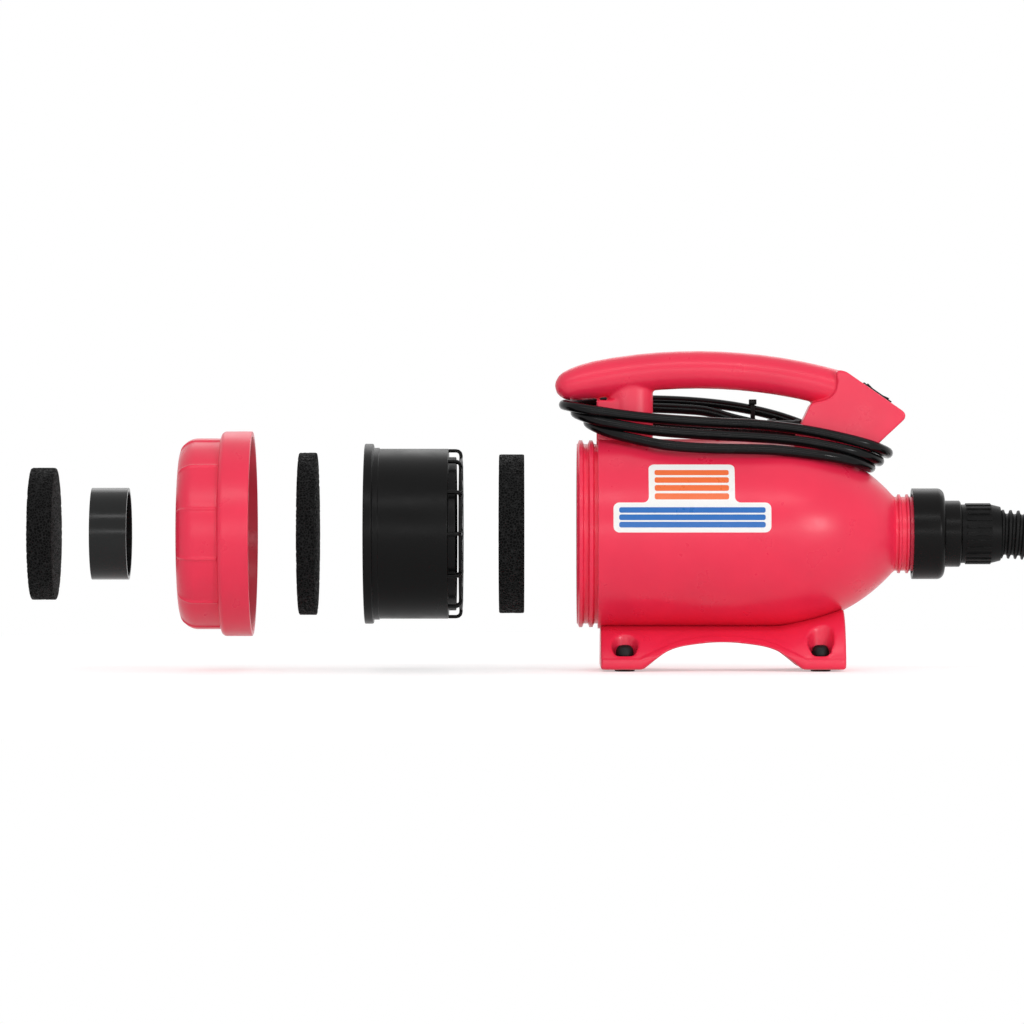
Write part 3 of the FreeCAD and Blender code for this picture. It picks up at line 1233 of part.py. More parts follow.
def finish():
    """Recompute, check every object and write the sub-parts."""
    doc.recompute()
    for item in doc.Objects:
        if "Invalid" in item.State or "Error" in item.State:
            raise RuntimeError(f"{item.Label}: {item.State}")
    os.makedirs("parts", exist_ok=True)
    for name, thing in NODES.items():
        shape = thing.Shape
        if shape.isNull() or not shape.isValid() or not shape.Solids:
            raise RuntimeError(f"{name}: no valid solid")
        room = shape.optimalBoundingBox()
        print(f"{name}: {len(shape.Solids)} solids, {shape.Volume / 1000:.1f} cm3, "
              f"x {room.XMin:.1f} to {room.XMax:.1f}, y {room.YMin:.1f} to {room.YMax:.1f}, "
              f"z {room.ZMin:.1f} to {room.ZMax:.1f}")
        shape.exportStep(f"parts/{name}.step")


finish()
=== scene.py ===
"""The pet dryer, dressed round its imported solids, in metres and in their frame."""

import bisect
import math

import bmesh
import bpy
from mathutils import Matrix, Vector
from mathutils import noise as noise_at
from mathutils.bvhtree import BVHTree


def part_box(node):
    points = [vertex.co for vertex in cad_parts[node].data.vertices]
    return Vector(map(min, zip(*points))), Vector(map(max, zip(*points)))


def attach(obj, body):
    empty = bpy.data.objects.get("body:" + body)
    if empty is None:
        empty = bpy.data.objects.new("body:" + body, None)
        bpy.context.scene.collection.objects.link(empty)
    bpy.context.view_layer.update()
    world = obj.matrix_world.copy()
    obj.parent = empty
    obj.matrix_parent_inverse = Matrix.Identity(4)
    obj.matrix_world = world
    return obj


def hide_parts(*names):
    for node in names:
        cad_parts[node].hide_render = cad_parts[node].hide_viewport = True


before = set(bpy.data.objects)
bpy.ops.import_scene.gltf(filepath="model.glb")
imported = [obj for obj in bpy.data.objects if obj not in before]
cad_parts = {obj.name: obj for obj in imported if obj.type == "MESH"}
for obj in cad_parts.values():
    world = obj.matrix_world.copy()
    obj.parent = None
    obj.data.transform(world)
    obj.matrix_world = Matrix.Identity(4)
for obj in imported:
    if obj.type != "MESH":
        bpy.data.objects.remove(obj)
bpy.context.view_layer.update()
AXIS_Z = 0.117


# The body is one moulded shell of coral polypropylene: a plain barrel, a domed front that runs
# into the neck, and a threaded rim at the rear. Its skin keeps the fine spark grain of the tool,
# and its edges are a shade paler where hands and tables have rubbed them.

CORAL = (241, 44, 78)
CORAL_PALE = (248, 104, 128)


def tint(red, green, blue):
    """The shader's own colour for a colour as a screen shows it."""
    def channel(value):
        value /= 255
        return value / 12.92 if value <= 0.04045 else ((value + 0.055) / 1.055) ** 2.4
    return channel(red), channel(green), channel(blue), 1.0


def shade(colour, share, lift=0.0):
    """A share of a colour, with a little grey added."""
    return tuple(part * share + lift for part in colour[:3]) + (1.0,)


def set_inputs(tree, node, values):
    """Feeds a node's sockets, each with a number, a colour or another node's output."""
    for name, value in values.items():
        if isinstance(value, bpy.types.NodeSocket):
            tree.links.new(value, node.inputs[name])
        else:
            node.inputs[name].default_value = value


def add_node(tree, kind, *sources, **values):
    """One shader node: what feeds its first sockets, then other sockets and settings by name."""
    node = tree.nodes.new("ShaderNode" + kind)
    set_inputs(tree, node, dict(enumerate(sources)))
    for name, value in values.items():
        if name in node.inputs:
            set_inputs(tree, node, {name: value})
        else:
            setattr(node, name, value)
    return node


def start_finish(name):
    """A new material with its shader, and the object coordinates that its patterns read."""
    material = bpy.data.materials.new(name)
    material.use_nodes = True
    tree = material.node_tree
    tree.nodes.clear()
    shader = add_node(tree, "BsdfPrincipled")
    add_node(tree, "OutputMaterial", shader.outputs["BSDF"])
    return material, tree, shader, add_node(tree, "TexCoord").outputs["Object"]


def noise(tree, place, scale, detail=3.0, roughness=0.55):
    return add_node(tree, "TexNoise", place, Scale=scale, Detail=detail,
                    Roughness=roughness).outputs["Fac"]


def spread(tree, value, low, high, out_low=0.0, out_high=1.0):
    """The part of a value between low and high, stretched to another range."""
    return add_node(tree, "MapRange", value, low, high, out_low, out_high).outputs["Result"]


def mixed_colour(tree, share, first, second):
    node = add_node(tree, "Mix", share, data_type="RGBA")
    set_inputs(tree, node, {6: first, 7: second})
    return node.outputs[2]


def times(tree, first, second):
    return add_node(tree, "Math", first, second, operation="MULTIPLY").outputs["Value"]


def rounded_edges(tree, radius):
    """The normal with its edges rounded, and how far it turns there, from 0 to 1."""
    soft = add_node(tree, "Bevel", samples=6, Radius=radius).outputs["Normal"]
    sharp = add_node(tree, "NewGeometry").outputs["Normal"]
    facing = add_node(tree, "VectorMath", soft, sharp, operation="DOT_PRODUCT")
    return soft, spread(tree, facing.outputs["Value"], 0.995, 0.86)


def add_bump(tree, shader, height, distance, strength, normal=None):
    node = add_node(tree, "Bump", Strength=strength, Distance=distance, Height=height)
    if normal:
        set_inputs(tree, node, {"Normal": normal})
    set_inputs(tree, shader, {"Normal": node.outputs["Normal"]})


def moulded(name, colour, worn, roughness=0.36, grain=1700.0, depth=0.00003, edge=0.0009,
            gloss=0.3):
    """Moulded plastic: spark grain, faint clouds in the colour, and paler rubbed edges."""
    material, tree, shader, place = start_finish(name)
    normal, edges = rounded_edges(tree, edge)
    clouds = spread(tree, noise(tree, place, 14.0), 0.3, 0.7)
    clouded = mixed_colour(tree, clouds, shade(colour, 0.9), colour)
    scuffs = spread(tree, noise(tree, place, 160.0, 4.0), 0.42, 0.62)
    rubbed = times(tree, times(tree, edges, scuffs), 0.6)
    uneven = noise(tree, place, 38.0)
    set_inputs(tree, shader, {
        "Base Color": mixed_colour(tree, rubbed, clouded, worn),
        "Roughness": spread(tree, uneven, 0.3, 0.7, roughness - 0.05, roughness + 0.06),
        "Specular IOR Level": gloss})
    add_bump(tree, shader, noise(tree, place, grain, 2.0), depth, 0.35, normal)
    return material


def finish_nodes(material, *names):
    """Gives solids of the frame their material, in every slot that they have."""
    for name in names:
        for part_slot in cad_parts[name].material_slots:
            part_slot.material = material


coral = moulded("coral_plastic", tint(*CORAL), tint(*CORAL_PALE), roughness=0.31, gloss=0.42)
finish_nodes(coral, "body_shell")

# A printed vinyl label lies on the near side of the barrel: a white backing cut with round
# corners, and plain stripes of ink on it. The vinyl is a tenth of a millimetre thick and has a
# low sheen, and it bends round the barrel as it was rubbed down.

LABEL_X = -0.0265
LABEL_CORNER = 0.005
LABEL_BACKING = [(-0.0668, 0.0014), (0.0668, 0.0014), (0.0668, 0.0272), (0.0362, 0.0272),
                 (0.0362, 0.0660), (-0.0368, 0.0660), (-0.0368, 0.0272), (-0.0668, 0.0272)]
BAND_STRIPES = [(-0.0620, 0.0620, 0.0056 + 0.0063 * row, 0.0048) for row in range(3)]
TAB_STRIPES = [(-0.0318, 0.0312, 0.0300 + 0.0079 * row, 0.0056) for row in range(4)]
STRIPE_CORNER = 0.0018
VINYL = 0.00012
VINYL_SUNK = 0.0004
LABEL_SLICE = 0.0015
LABEL_SLICES = 45
BARREL = 0.0815
RAY_FROM = 0.12
barrel = BVHTree.FromObject(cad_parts["body_shell"], bpy.context.evaluated_depsgraph_get())


def barrel_radius(x, angle):
    """Radius of the barrel's skin under the label."""
    outwards = Vector((0, -math.cos(angle), math.sin(angle)))
    centre = Vector((x, 0, AXIS_Z))
    hit = barrel.ray_cast(centre + outwards * RAY_FROM, -outwards)[0]
    return (hit - centre).dot(outwards)


def stuck_on(name, outlines, round_by, lift, material):
    """Flat shapes with round corners, laid on the barrel at one height over its skin."""
    work = bmesh.new()
    for outline in outlines:
        face = work.faces.new([work.verts.new((u, v, 0)) for u, v in outline])
        bmesh.ops.bevel(work, geom=list(face.verts), offset=round_by, segments=5, profile=0.5,
                        affect="VERTICES", material=-1)
    for step in range(1, LABEL_SLICES):
        geometry = work.verts[:] + work.edges[:] + work.faces[:]
        bmesh.ops.bisect_plane(work, geom=geometry, dist=1e-6,
                               plane_co=(0, step * LABEL_SLICE, 0), plane_no=(0, 1, 0))
    bmesh.ops.triangulate(work, faces=work.faces[:])
    skin = bmesh.ops.extrude_face_region(work, geom=work.faces[:])
    outer = {vert for vert in skin["geom"] if isinstance(vert, bmesh.types.BMVert)}
    for vert in work.verts:
        x = LABEL_X + vert.co.x
        angle = vert.co.y / BARREL
        reach = barrel_radius(x, angle) + lift + (VINYL if vert in outer else -VINYL_SUNK)
        vert.co = (x, -math.cos(angle) * reach, AXIS_Z + math.sin(angle) * reach)
    finished(name, work, material, "dryer", "shell")


def new_object(name, data):
    """An object for a mesh, curve, lamp or camera, at the origin of the scene."""
    piece = bpy.data.objects.new(name, data)
    bpy.context.scene.collection.objects.link(piece)
    return piece


def mesh_object(name, work):
    """The object of a finished bmesh, with all its faces turned outwards."""
    bmesh.ops.recalc_face_normals(work, faces=work.faces[:])
    mesh = bpy.data.meshes.new(name)
    work.to_mesh(mesh)
    work.free()
    return new_object(name, mesh)


def dress(piece, material, body, slot, *solids):
    """Gives a piece its material, and says what it rides on and which solids it replaces."""
    piece.data.materials.clear()
    piece.data.materials.append(material)
    piece.data.shade_smooth()
    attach(piece, body)
    if solids:
        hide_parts(*solids)


def finished(name, work, material, body, slot, *solids):
    """A dressed piece from a bmesh, smooth but for its sharp edges."""
    piece = mesh_object(name, work)
    dress(piece, material, body, slot, *solids)
    piece.data.set_sharp_from_angle(angle=math.radians(38))
    return piece


def printed(name, colour):
    """Ink on vinyl: even colour with the faint screen of the print, and a low sheen."""
    material, tree, shader, place = start_finish(name)
    screen = spread(tree, noise(tree, place, 2600.0, 1.0), 0.35, 0.65)
    creases = noise(tree, place, 90.0)
    set_inputs(tree, shader, {
        "Base Color": mixed_colour(tree, screen, shade(colour, 0.93), colour),
        "Roughness": spread(tree, creases, 0.3, 0.7, 0.26, 0.36)})
    add_bump(tree, shader, creases, 0.00005, 0.25)
    return material


def bars(stripes):
    return [[(left, low), (right, low), (right, low + high), (left, low + high)]
            for left, right, low, high in stripes]


stuck_on("label_backing", [LABEL_BACKING], LABEL_CORNER, 0.0,
         printed("vinyl", tint(244, 243, 241)))
stuck_on("label_band_stripes", bars(BAND_STRIPES), STRIPE_CORNER, VINYL,
         printed("blue_ink", tint(18, 104, 186)))
stuck_on("label_tab_stripes", bars(TAB_STRIPES), STRIPE_CORNER, VINYL,
         printed("orange_ink", tint(240, 106, 40)))


# The base is a second moulding in the same coral plastic. Its saddle hugs the barrel, an arch
# runs through it from side to side, and four scooped pockets hold the screws. Push-in rubber
# feet show as dark nubs.


def voxel_skin(name, work, cell, rounds, factor):
    """Closed forms in one skin of even cells, whose edges and corners are melted round."""
    piece = mesh_object(name, work)
    rough = piece.data
    remesh = piece.modifiers.new("even", "REMESH")
    remesh.mode = "VOXEL"
    remesh.voxel_size = cell
    smooth = piece.modifiers.new("melted", "SMOOTH")
    smooth.factor = factor
    smooth.iterations = rounds
    skin = made_mesh(piece)
    piece.modifiers.clear()
    piece.data = skin
    bpy.data.meshes.remove(rough)
    skin.name = name
    return piece


def made_mesh(piece):
    """The mesh of an object once its modifiers have run."""
    bpy.context.view_layer.update()
    return bpy.data.meshes.new_from_object(
        piece.evaluated_get(bpy.context.evaluated_depsgraph_get()))


MM = 0.001
BASE_CELL = 0.00118
base_work = bmesh.new()
base_work.from_mesh(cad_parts["base"].data)
bmesh.ops.remove_doubles(base_work, verts=base_work.verts[:], dist=1e-6)
base_moulding = voxel_skin("base_moulding", base_work, BASE_CELL, 8, 1.0)

ARCH_TOP = 0.0246
ARCH_ROUND = 0.118
ARCH_HALF = 0.070
ARCH_FADE = 0.014
SWELL_AT = 0.046
SWELL_HIGH = 0.0029
SWELL_WIDE = (0.020, 0.0135)
FOOT_LOW = 0.0015
FOOT_STARTS = 0.052
FOOT_BLEND = 0.016
SIDE_STARTS = 0.036
BAND_HIGH = 0.0056
FOOT_BAND_MORE = 0.0034
BAND_BLEND = 0.0014
BAND_PROUD = 0.0020


def held(share):
    """A share kept between 0 and 1."""
    return min(max(share, 0.0), 1.0)


def arch_change(x):
    """How much higher or lower the S-curved edge of the arch runs than a plain round arch."""
    away = abs(x) - SWELL_AT
    return SWELL_HIGH * math.exp(-(away / SWELL_WIDE[away >= 0]) ** 2)


def shape_arch(mesh):
    """Bends the arch's edge into an S, and raises a band along it and round the feet."""
    mesh.update()
    normals = [vert.normal.copy() for vert in mesh.vertices]
    for vert, normal in zip(mesh.vertices, normals):
        x, y, z = vert.co
        edge = FOOT_LOW
        if abs(x) < ARCH_HALF:
            edge = ARCH_TOP - ARCH_ROUND + math.sqrt(ARCH_ROUND ** 2 - x * x)
        if abs(y) > SIDE_STARTS and abs(normal.y) > 0.3:
            band = BAND_HIGH + FOOT_BAND_MORE * held((abs(x) - FOOT_STARTS) / FOOT_BLEND)
            proud = held((band - (z - edge)) / BAND_BLEND + 0.5)
            vert.co.y += normal.y * BAND_PROUD * proud
        vert.co.z = z + arch_change(x) * held(1 - (z - edge) / ARCH_FADE)


shape_arch(base_moulding.data)
dress(base_moulding, coral, "dryer", "shell", "base")


def soft_rubber(name, colour, roughness=0.62):
    """Moulded rubber: a dull skin with talc bloom in patches and a fine pebble."""
    material, tree, shader, place = start_finish(name)
    normal = rounded_edges(tree, 0.0008)[0]
    bloom = spread(tree, noise(tree, place, 60.0, 4.0), 0.45, 0.75, 0.0, 0.5)
    set_inputs(tree, shader, {
        "Base Color": mixed_colour(tree, bloom, colour, shade(colour, 0.8, 0.012)),
        "Roughness": spread(tree, bloom, 0.0, 0.5, roughness - 0.08, roughness + 0.1),
        "Specular IOR Level": 0.25})
    add_bump(tree, shader, noise(tree, place, 1400.0), 0.00004, 0.5, normal)
    return material


rubber = soft_rubber("black_rubber", tint(14, 14, 15))
FOOT_AT = (0.0834, 0.048)
FOOT_PROFILE = [(7.6, 0.0), (8.4, 0.3), (8.7, 0.9), (8.5, 1.5), (5.0, 1.6),
                (5.0, 12.9), (7.5, 13.1), (7.7, 14.2), (7.4, 17.0), (6.7, 19.8), (5.6, 21.3),
                (4.0, 22.2), (2.0, 22.5)]


def full_turn(count):
    """The angles of a full turn in equal steps."""
    return [step * 2 / count * math.pi for step in range(count)]


def wrap(work, rings, closed=False):
    """Faces from ring to ring, with caps on both ends or back round to the first."""
    after = rings[1:] + (rings[:1] if closed else [])
    for first, second in zip(rings, after):
        for index in range(len(first)):
            work.faces.new((first[index - 1], first[index], second[index], second[index - 1]))
    if not closed:
        work.faces.new(rings[0])
        work.faces.new(rings[-1])


def push_in_feet():
    """Four feet, each a pad under the base, a stem through it and a domed nub above."""
    work = bmesh.new()
    for side_x, side_y in ((-1, -1), (-1, 1), (1, -1), (1, 1)):
        x = side_x * FOOT_AT[0]
        y = side_y * FOOT_AT[1]
        wrap(work, [[work.verts.new((x + reach * MM * math.cos(turn),
                                     y + reach * MM * math.sin(turn), z * MM))
                     for turn in full_turn(40)] for reach, z in FOOT_PROFILE])
    finished("push_in_feet", work, rubber, "dryer", "rubber", "rubber_feet")


push_in_feet()


def plated(name, colour, roughness, brushed=(1.0, 1.0, 1.0), metallic=1.0):
    """Bare or plated metal: a fine drawn grain along one way, and stains in its gloss."""
    material, tree, shader, place = start_finish(name)
    normal = rounded_edges(tree, 0.0004)[0]
    lines = noise(tree, add_node(tree, "Mapping", place, Scale=brushed).outputs[0], 700.0)
    stains = spread(tree, noise(tree, place, 55.0, 4.0), 0.35, 0.7)
    set_inputs(tree, shader, {
        "Base Color": mixed_colour(tree, stains, colour, shade(colour, 0.72)),
        "Roughness": spread(tree, lines, 0.3, 0.7, roughness - 0.07, roughness + 0.1),
        "Metallic": metallic})
    add_bump(tree, shader, lines, 0.00002, 0.4, normal)
    return material


zinc = plated("zinc_plate", tint(186, 188, 186), 0.32)
finish_nodes(zinc, "base_screws", "handle_screws", "plate_screws", "impeller_nut")


# Inside the barrel a bulkhead plate carries a two-stage blower motor: spun aluminium fan and
# cover, a laminated field with enamelled copper coils, a copper commutator and carbon brushes.
# They are seen only with the pieces off, and each keeps the finish of its own metal.

steel = plated("rolled_steel", tint(150, 152, 154), 0.38, brushed=(0.08, 1.0, 1.0))
laminated = plated("laminated_steel", tint(122, 124, 128), 0.42, brushed=(6.0, 0.2, 0.2))
alloy = plated("spun_aluminium", tint(198, 200, 202), 0.30, brushed=(1.0, 0.3, 0.3))
copper = plated("enamelled_copper", tint(176, 92, 48), 0.28, brushed=(0.2, 1.0, 1.0))
brass = plated("turned_brass", tint(196, 164, 92), 0.28)
carbon = plated("pressed_carbon", tint(46, 45, 46), 0.6, metallic=0.0)
finish_nodes(steel, "motor_plate", "shaft", "bearings", "front_mount")
finish_nodes(laminated, "field_core", "armature_core")
finish_nodes(alloy, "fan_cover", "impeller", "diffuser", "motor_frame")
finish_nodes(copper, "field_coils", "armature_windings", "commutator")
finish_nodes(brass, "brush_holders")
finish_nodes(carbon, "brushes")
finish_nodes(rubber, "motor_gasket", "front_boot", "collar_gasket")
finish_nodes(moulded("wire_skin", tint(196, 38, 34), tint(214, 84, 76), grain=2600.0,
                     depth=0.00001), "lead_wires")


# The handle is moulded in two hollow halves, left and right, screwed together through bosses
# and onto the barrel. One arched round grip runs from its tapered rear end, over an oval post
# with a heel, into the flat-sided head that holds the switch.

HANDLE_WALL = 2.6 * MM
HANDLE_CELL = 1.0 * MM
HOLLOW_CELL = 1.2 * MM
GRIP_ARCH = 0.446
GRIP_MIDDLE = Vector((-0.0206, 0, -0.188))
GRIP_STATIONS = [(-121.4, 3.4), (-119.6, 6.8), (-116.4, 10.3), (-112.4, 12.5), (-106.0, 14.1),
                 (-97.0, 15.4), (-86.0, 16.1), (-70.0, 16.2)]
GRIP_STATIONS += [(-50.0 + step * 17.2, 16.2) for step in range(11)]
POST_X = -0.078
POST_HALF = (0.0196, 0.0124)
POST_LOW = 0.076
POST_HIGH = 0.132
HEEL_LONG = 0.029
HEEL_WIDE = 0.021
HEEL_HIGH = 0.1148
HEAD_HALF = 0.019
HEAD_OUTLINE = [(105.8, 140.0, 3.0), (160.8, 101.7, 6.6), (137.6, 80.2, 6.0),
                (110.9, 54.0, 0.0), (57.9, 72.0, 0.0), (76.6, 112.0, 2.5), (99.4, 117.0, 12.0),
                (98.8, 140.3, 2.0)]
SWITCH_SLOT = (26.2, 13.2, 21.6)
SWITCH_ALONG = 34.0
SCREW_R = 3.1 * MM
SCREW_POCKET = 16.0 * MM
SEAM_HALF = 0.1 * MM
FOOT_UNDER = 81.3 * MM
FOOT_SUNK = 1.1 * MM
RAY_ABOVE = 60.0 * MM
SCREW_SPOTS = [(-119.0, 131.0, 13.1), (-62.0, 139.0, 13.1), (78.0, 129.0, 13.1),
               (88.0, 96.0, 18.0)]


def arched_grip(work, wall):
    """The round grip, swept along its arch, thinner by the wall for the hollow inside it."""
    rings = []
    for reach, radius in GRIP_STATIONS:
        angle = math.asin(reach * MM / GRIP_ARCH)
        out = Vector((math.sin(angle), 0, math.cos(angle)))
        middle = GRIP_MIDDLE + out * GRIP_ARCH
        size = max(radius * MM - wall, 0.0004)
        rings.append([work.verts.new(middle + size * (out * math.cos(turn)
                                                      + Vector((0, math.sin(turn), 0))))
                      for turn in full_turn(40)])
    wrap(work, rings)


def head_slab(work, wall):
    """The flat-sided head and its leg: one outline with round corners, as thick as the head."""
    corners = [Vector((x * MM, z * MM, 0)) for x, z, _ in HEAD_OUTLINE]
    moved = []
    for index, corner in enumerate(corners):
        before = (corner - corners[index - 1]).normalized()
        after = (corners[(index + 1) % len(corners)] - corner).normalized()
        side_a = Vector((before.y, -before.x, 0))
        side_b = Vector((after.y, -after.x, 0))
        place = corner + (side_a + side_b) * (wall / (1 + side_a.dot(side_b)))
        moved.append(work.verts.new((place.x, wall - HEAD_HALF, AXIS_Z + place.y)))
    work.faces.new(moved)
    for vert, (_, _, rounding) in zip(moved, HEAD_OUTLINE):
        if rounding:
            bmesh.ops.bevel(work, geom=[vert], offset=rounding * MM, segments=6, profile=0.5,
                            affect="VERTICES", material=-1)
    flat = [face for face in work.faces if len(face.verts) > 8 and face.calc_area() > 0.001
            and abs(face.calc_center_median().y - (wall - HEAD_HALF)) < 1e-5]
    face = min(flat, key=lambda one: abs(one.normal.x))
    other = bmesh.ops.extrude_face_region(work, geom=[face], use_keep_orig=True)
    lifted = [item for item in other["geom"] if isinstance(item, bmesh.types.BMVert)]
    bmesh.ops.translate(work, verts=lifted, vec=(0, 2 * (HEAD_HALF - wall), 0))


def block(work, place, *size):
    """A block with its middle at a place."""
    return bmesh.ops.create_cube(work, size=1, matrix=place @ Matrix.Diagonal((*size, 1)))["verts"]


def rod(work, place, segments, radius, length):
    """A round rod along the place's own z, with its middle there."""
    bmesh.ops.create_cone(work, cap_ends=True, segments=segments, radius1=radius,
                          radius2=radius, depth=length, matrix=place)


def post_and_heel(work, wall):
    """The oval rear post, and the square heel behind it, down to the barrel."""
    low = AXIS_Z + POST_LOW - wall * 2
    high = AXIS_Z + POST_HIGH
    oval = Matrix.Diagonal((POST_HALF[0] - wall, POST_HALF[1] - wall, high - low, 1))
    rod(work, Matrix.Translation((POST_X, 0, (low + high) / 2)) @ oval, 48, 1, 1)
    if not wall:
        top = AXIS_Z + HEEL_HIGH
        block(work, Matrix.Translation((POST_X - HEEL_LONG / 2, 0, (low + top) / 2)),
              HEEL_LONG, HEEL_WIDE, top - low)


def switch_and_screw_holes(work):
    """The slot in the sloping face, and the pockets of the screws on the far side."""
    top, nose = HEAD_OUTLINE[0], HEAD_OUTLINE[1]
    slope = math.atan2(top[1] - nose[1], nose[0] - top[0])
    face = (Matrix.Translation((top[0] * MM, 0, AXIS_Z + top[1] * MM))
            @ Matrix.Rotation(slope, 4, "Y"))
    length, width, depth = SWITCH_SLOT
    block(work, face @ Matrix.Translation((SWITCH_ALONG * MM, 0, (3 - depth / 2) * MM)),
          length * MM, width * MM, (depth + 6) * MM)
    for x, z, inner in SCREW_SPOTS:
        place = Matrix.Translation((x * MM, inner * MM + SCREW_POCKET / 2, AXIS_Z + z * MM))
        rod(work, place @ Matrix.Rotation(math.pi / 2, 4, "X"), 24, SCREW_R, SCREW_POCKET)


def handle_form(name, wall, cell, rounds):
    """The handle's forms in one skin: its outside, or the hollow that a wall leaves inside."""
    work = bmesh.new()
    arched_grip(work, wall)
    post_and_heel(work, wall)
    head_slab(work, wall)
    if wall:
        switch_and_screw_holes(work)
    return voxel_skin(name, work, cell, rounds, 0.5)


def handle_skin():
    """The whole handle, hollow, with its holes, before it is parted into halves."""
    whole = handle_form("handle_whole", 0.0, HANDLE_CELL, 8)
    hollow = handle_form("handle_hollow", HANDLE_WALL, HOLLOW_CELL, 1)
    cut = whole.modifiers.new("hollow", "BOOLEAN")
    cut.object = hollow
    cut.operation = "DIFFERENCE"
    cut.solver = "EXACT"
    mesh = made_mesh(whole)
    for piece in (whole, hollow):
        old = piece.data
        bpy.data.objects.remove(piece)
        bpy.data.meshes.remove(old)
    return mesh


def handle_half(name, node, skin, side):
    """One half: the skin on one side of the middle, its foot drawn into the barrel's wall."""
    work = bmesh.new()
    work.from_mesh(skin)
    gap = Vector((0, side * SEAM_HALF, 0))
    geometry = work.verts[:] + work.edges[:] + work.faces[:]
    cut = bmesh.ops.bisect_plane(work, geom=geometry, dist=1e-6, plane_co=gap,
                                 plane_no=(0, -side, 0), clear_outer=True)
    rim = [item for item in cut["geom_cut"] if isinstance(item, bmesh.types.BMEdge)]
    bmesh.ops.triangle_fill(work, edges=rim, use_beauty=False)
    for vert in work.verts:
        centre = Vector((vert.co.x, 0, AXIS_Z))
        spoke = vert.co - centre
        if spoke.length < FOOT_UNDER and spoke.z > 0:
            out = spoke.normalized()
            hit = barrel.ray_cast(vert.co + out * RAY_ABOVE, -out)[0]
            wall_middle = (hit - centre).length - FOOT_SUNK
            if spoke.length < wall_middle:
                vert.co = centre + out * wall_middle
    finished(name, work, coral, "dryer", "shell", node)


handle_mesh = handle_skin()
handle_half("handle_near_half", "handle_right", handle_mesh, -1)
handle_half("handle_far_half", "handle_left", handle_mesh, 1)
bpy.data.meshes.remove(handle_mesh)

# The switch is a snap-in rocker in a black nylon frame, set in the head's sloping face, with
# raised ends for the thumb.

nylon = moulded("switch_nylon", tint(13, 13, 14), tint(52, 51, 52), roughness=0.3,
                grain=2400.0, depth=0.00001, edge=0.0006, gloss=0.14)
finish_nodes(nylon, "switch_body", "rocker")


# The power cord is a round three-core lead with a smooth black PVC sheath. It leaves the head's
# inner wall, is wound three times round the handle's posts, and hangs its plug behind the barrel.
# The turns differ in size and fan out, and a cable tie holds them together at the far side.

CORD_THICK = 0.0089
TURN_MIDDLE = 7.7
LEAD = [(44, 6, 91), (20, 7, 90), (-2, 11, 90), (-22, 16, 91.5), (-45, 20, 94), (-70, 25, 97)]
TAIL = [(94, 44, 91.5), (68, 50.5, 91.5), (44, 57, 87), (22, 62, 80.5), (2, 66, 73), (-20, 70, 67)]
HEIGHT_STATIONS = (-30.0, 72.0)

# Each turn has its rear end and that bend's radius, its front end and that bend's radius, how
# far its near and its far side bulge, and the heights of the near and of the far side at the
# rear end, at the two stations and at the front end.

TURNS = [
    (-114.0, 29.0, 128.5, 44.0, 51.5, 27.0, (92.8, 73.8, 69.7, 57.4), (98.5, 103.0, 86.5, 56.0)),
    (-125.0, 28.0, 136.0, 34.5, 37.5, 34.0, (101.7, 85.6, 78.6, 63.7),
     (106.5, 110.0, 94.5, 61.0)),
    (-135.0, 27.0, 143.5, 32.5, 29.0, 43.0, (110.3, 96.6, 88.0, 71.0),
     (111.5, 117.0, 101.5, 67.5)),
]


def sagging(x, heights, rear, front):
    """Height at x of the smooth curve through a turn's heights at its four stations."""
    stations = (rear, *HEIGHT_STATIONS, front)
    total = 0.0
    for index, height in enumerate(heights):
        share = 1.0
        for other, place in enumerate(stations):
            if other != index:
                share *= (x - place) / (stations[index] - place)
        total += height * share
    return total


def turn_height(turn, x, y):
    """Height of a turn at a place: low on the near side, high on the far one."""
    rear, rear_round, front, front_round = turn[:4]
    low, high = turn[6:]
    round_by = rear_round if x < TURN_MIDDLE else front_round
    across = held((y + round_by) / (2 * round_by))
    near_height = sagging(x, low, rear, front)
    return near_height + (sagging(x, high, rear, front) - near_height) * across


def turn_side(turn, x, side):
    """Where a long side of a turn bulges to at x: it leaves one post's bend for the other's."""
    rear, rear_round, front, front_round, near, far = turn[:6]
    first = rear + rear_round
    last = front - front_round
    from_middle = (2 * x - first - last) / (last - first)
    straight = rear_round + (front_round - rear_round) * (x - first) / (last - first)
    wide = near if side < 0 else far
    return side * (straight + (wide - straight) * max(0.0, 1 - abs(from_middle) ** 4))


def between(turn, after, share):
    """A turn on its way to the next one."""
    values = []
    for one, other in zip(turn, after):
        if isinstance(one, tuple):
            values.append(tuple(a + (b - a) * share for a, b in zip(one, other)))
        else:
            values.append(one + (other - one) * share)
    return tuple(values)


def bend_points(turn, end, round_by, way, start):
    """The points that carry a turn round a post."""
    points = []
    reach = round_by / math.cos(math.radians(22.5))
    for step in range(4):
        angle = math.radians(start + 45 * step)
        x = end - way * round_by + reach * math.cos(angle)
        y = reach * math.sin(angle)
        points.append((x, y, turn_height(turn, x, y)))
    return points


def side_points(turn, after, side):
    """The points of a long side, from one bend to the other."""
    rear_end = turn[0] + turn[1] * 2 if side < 0 else after[0] + after[1] * 2
    front_end = turn[2] - turn[3] * 1.8
    points = []
    for step in range(7):
        share = step / 6
        x = rear_end + (front_end - rear_end) * (share if side < 0 else 1 - share)
        here = between(turn, after, share) if side > 0 else turn
        y = turn_side(here, x, side)
        points.append((x, y, turn_height(here, x, y)))
    return points


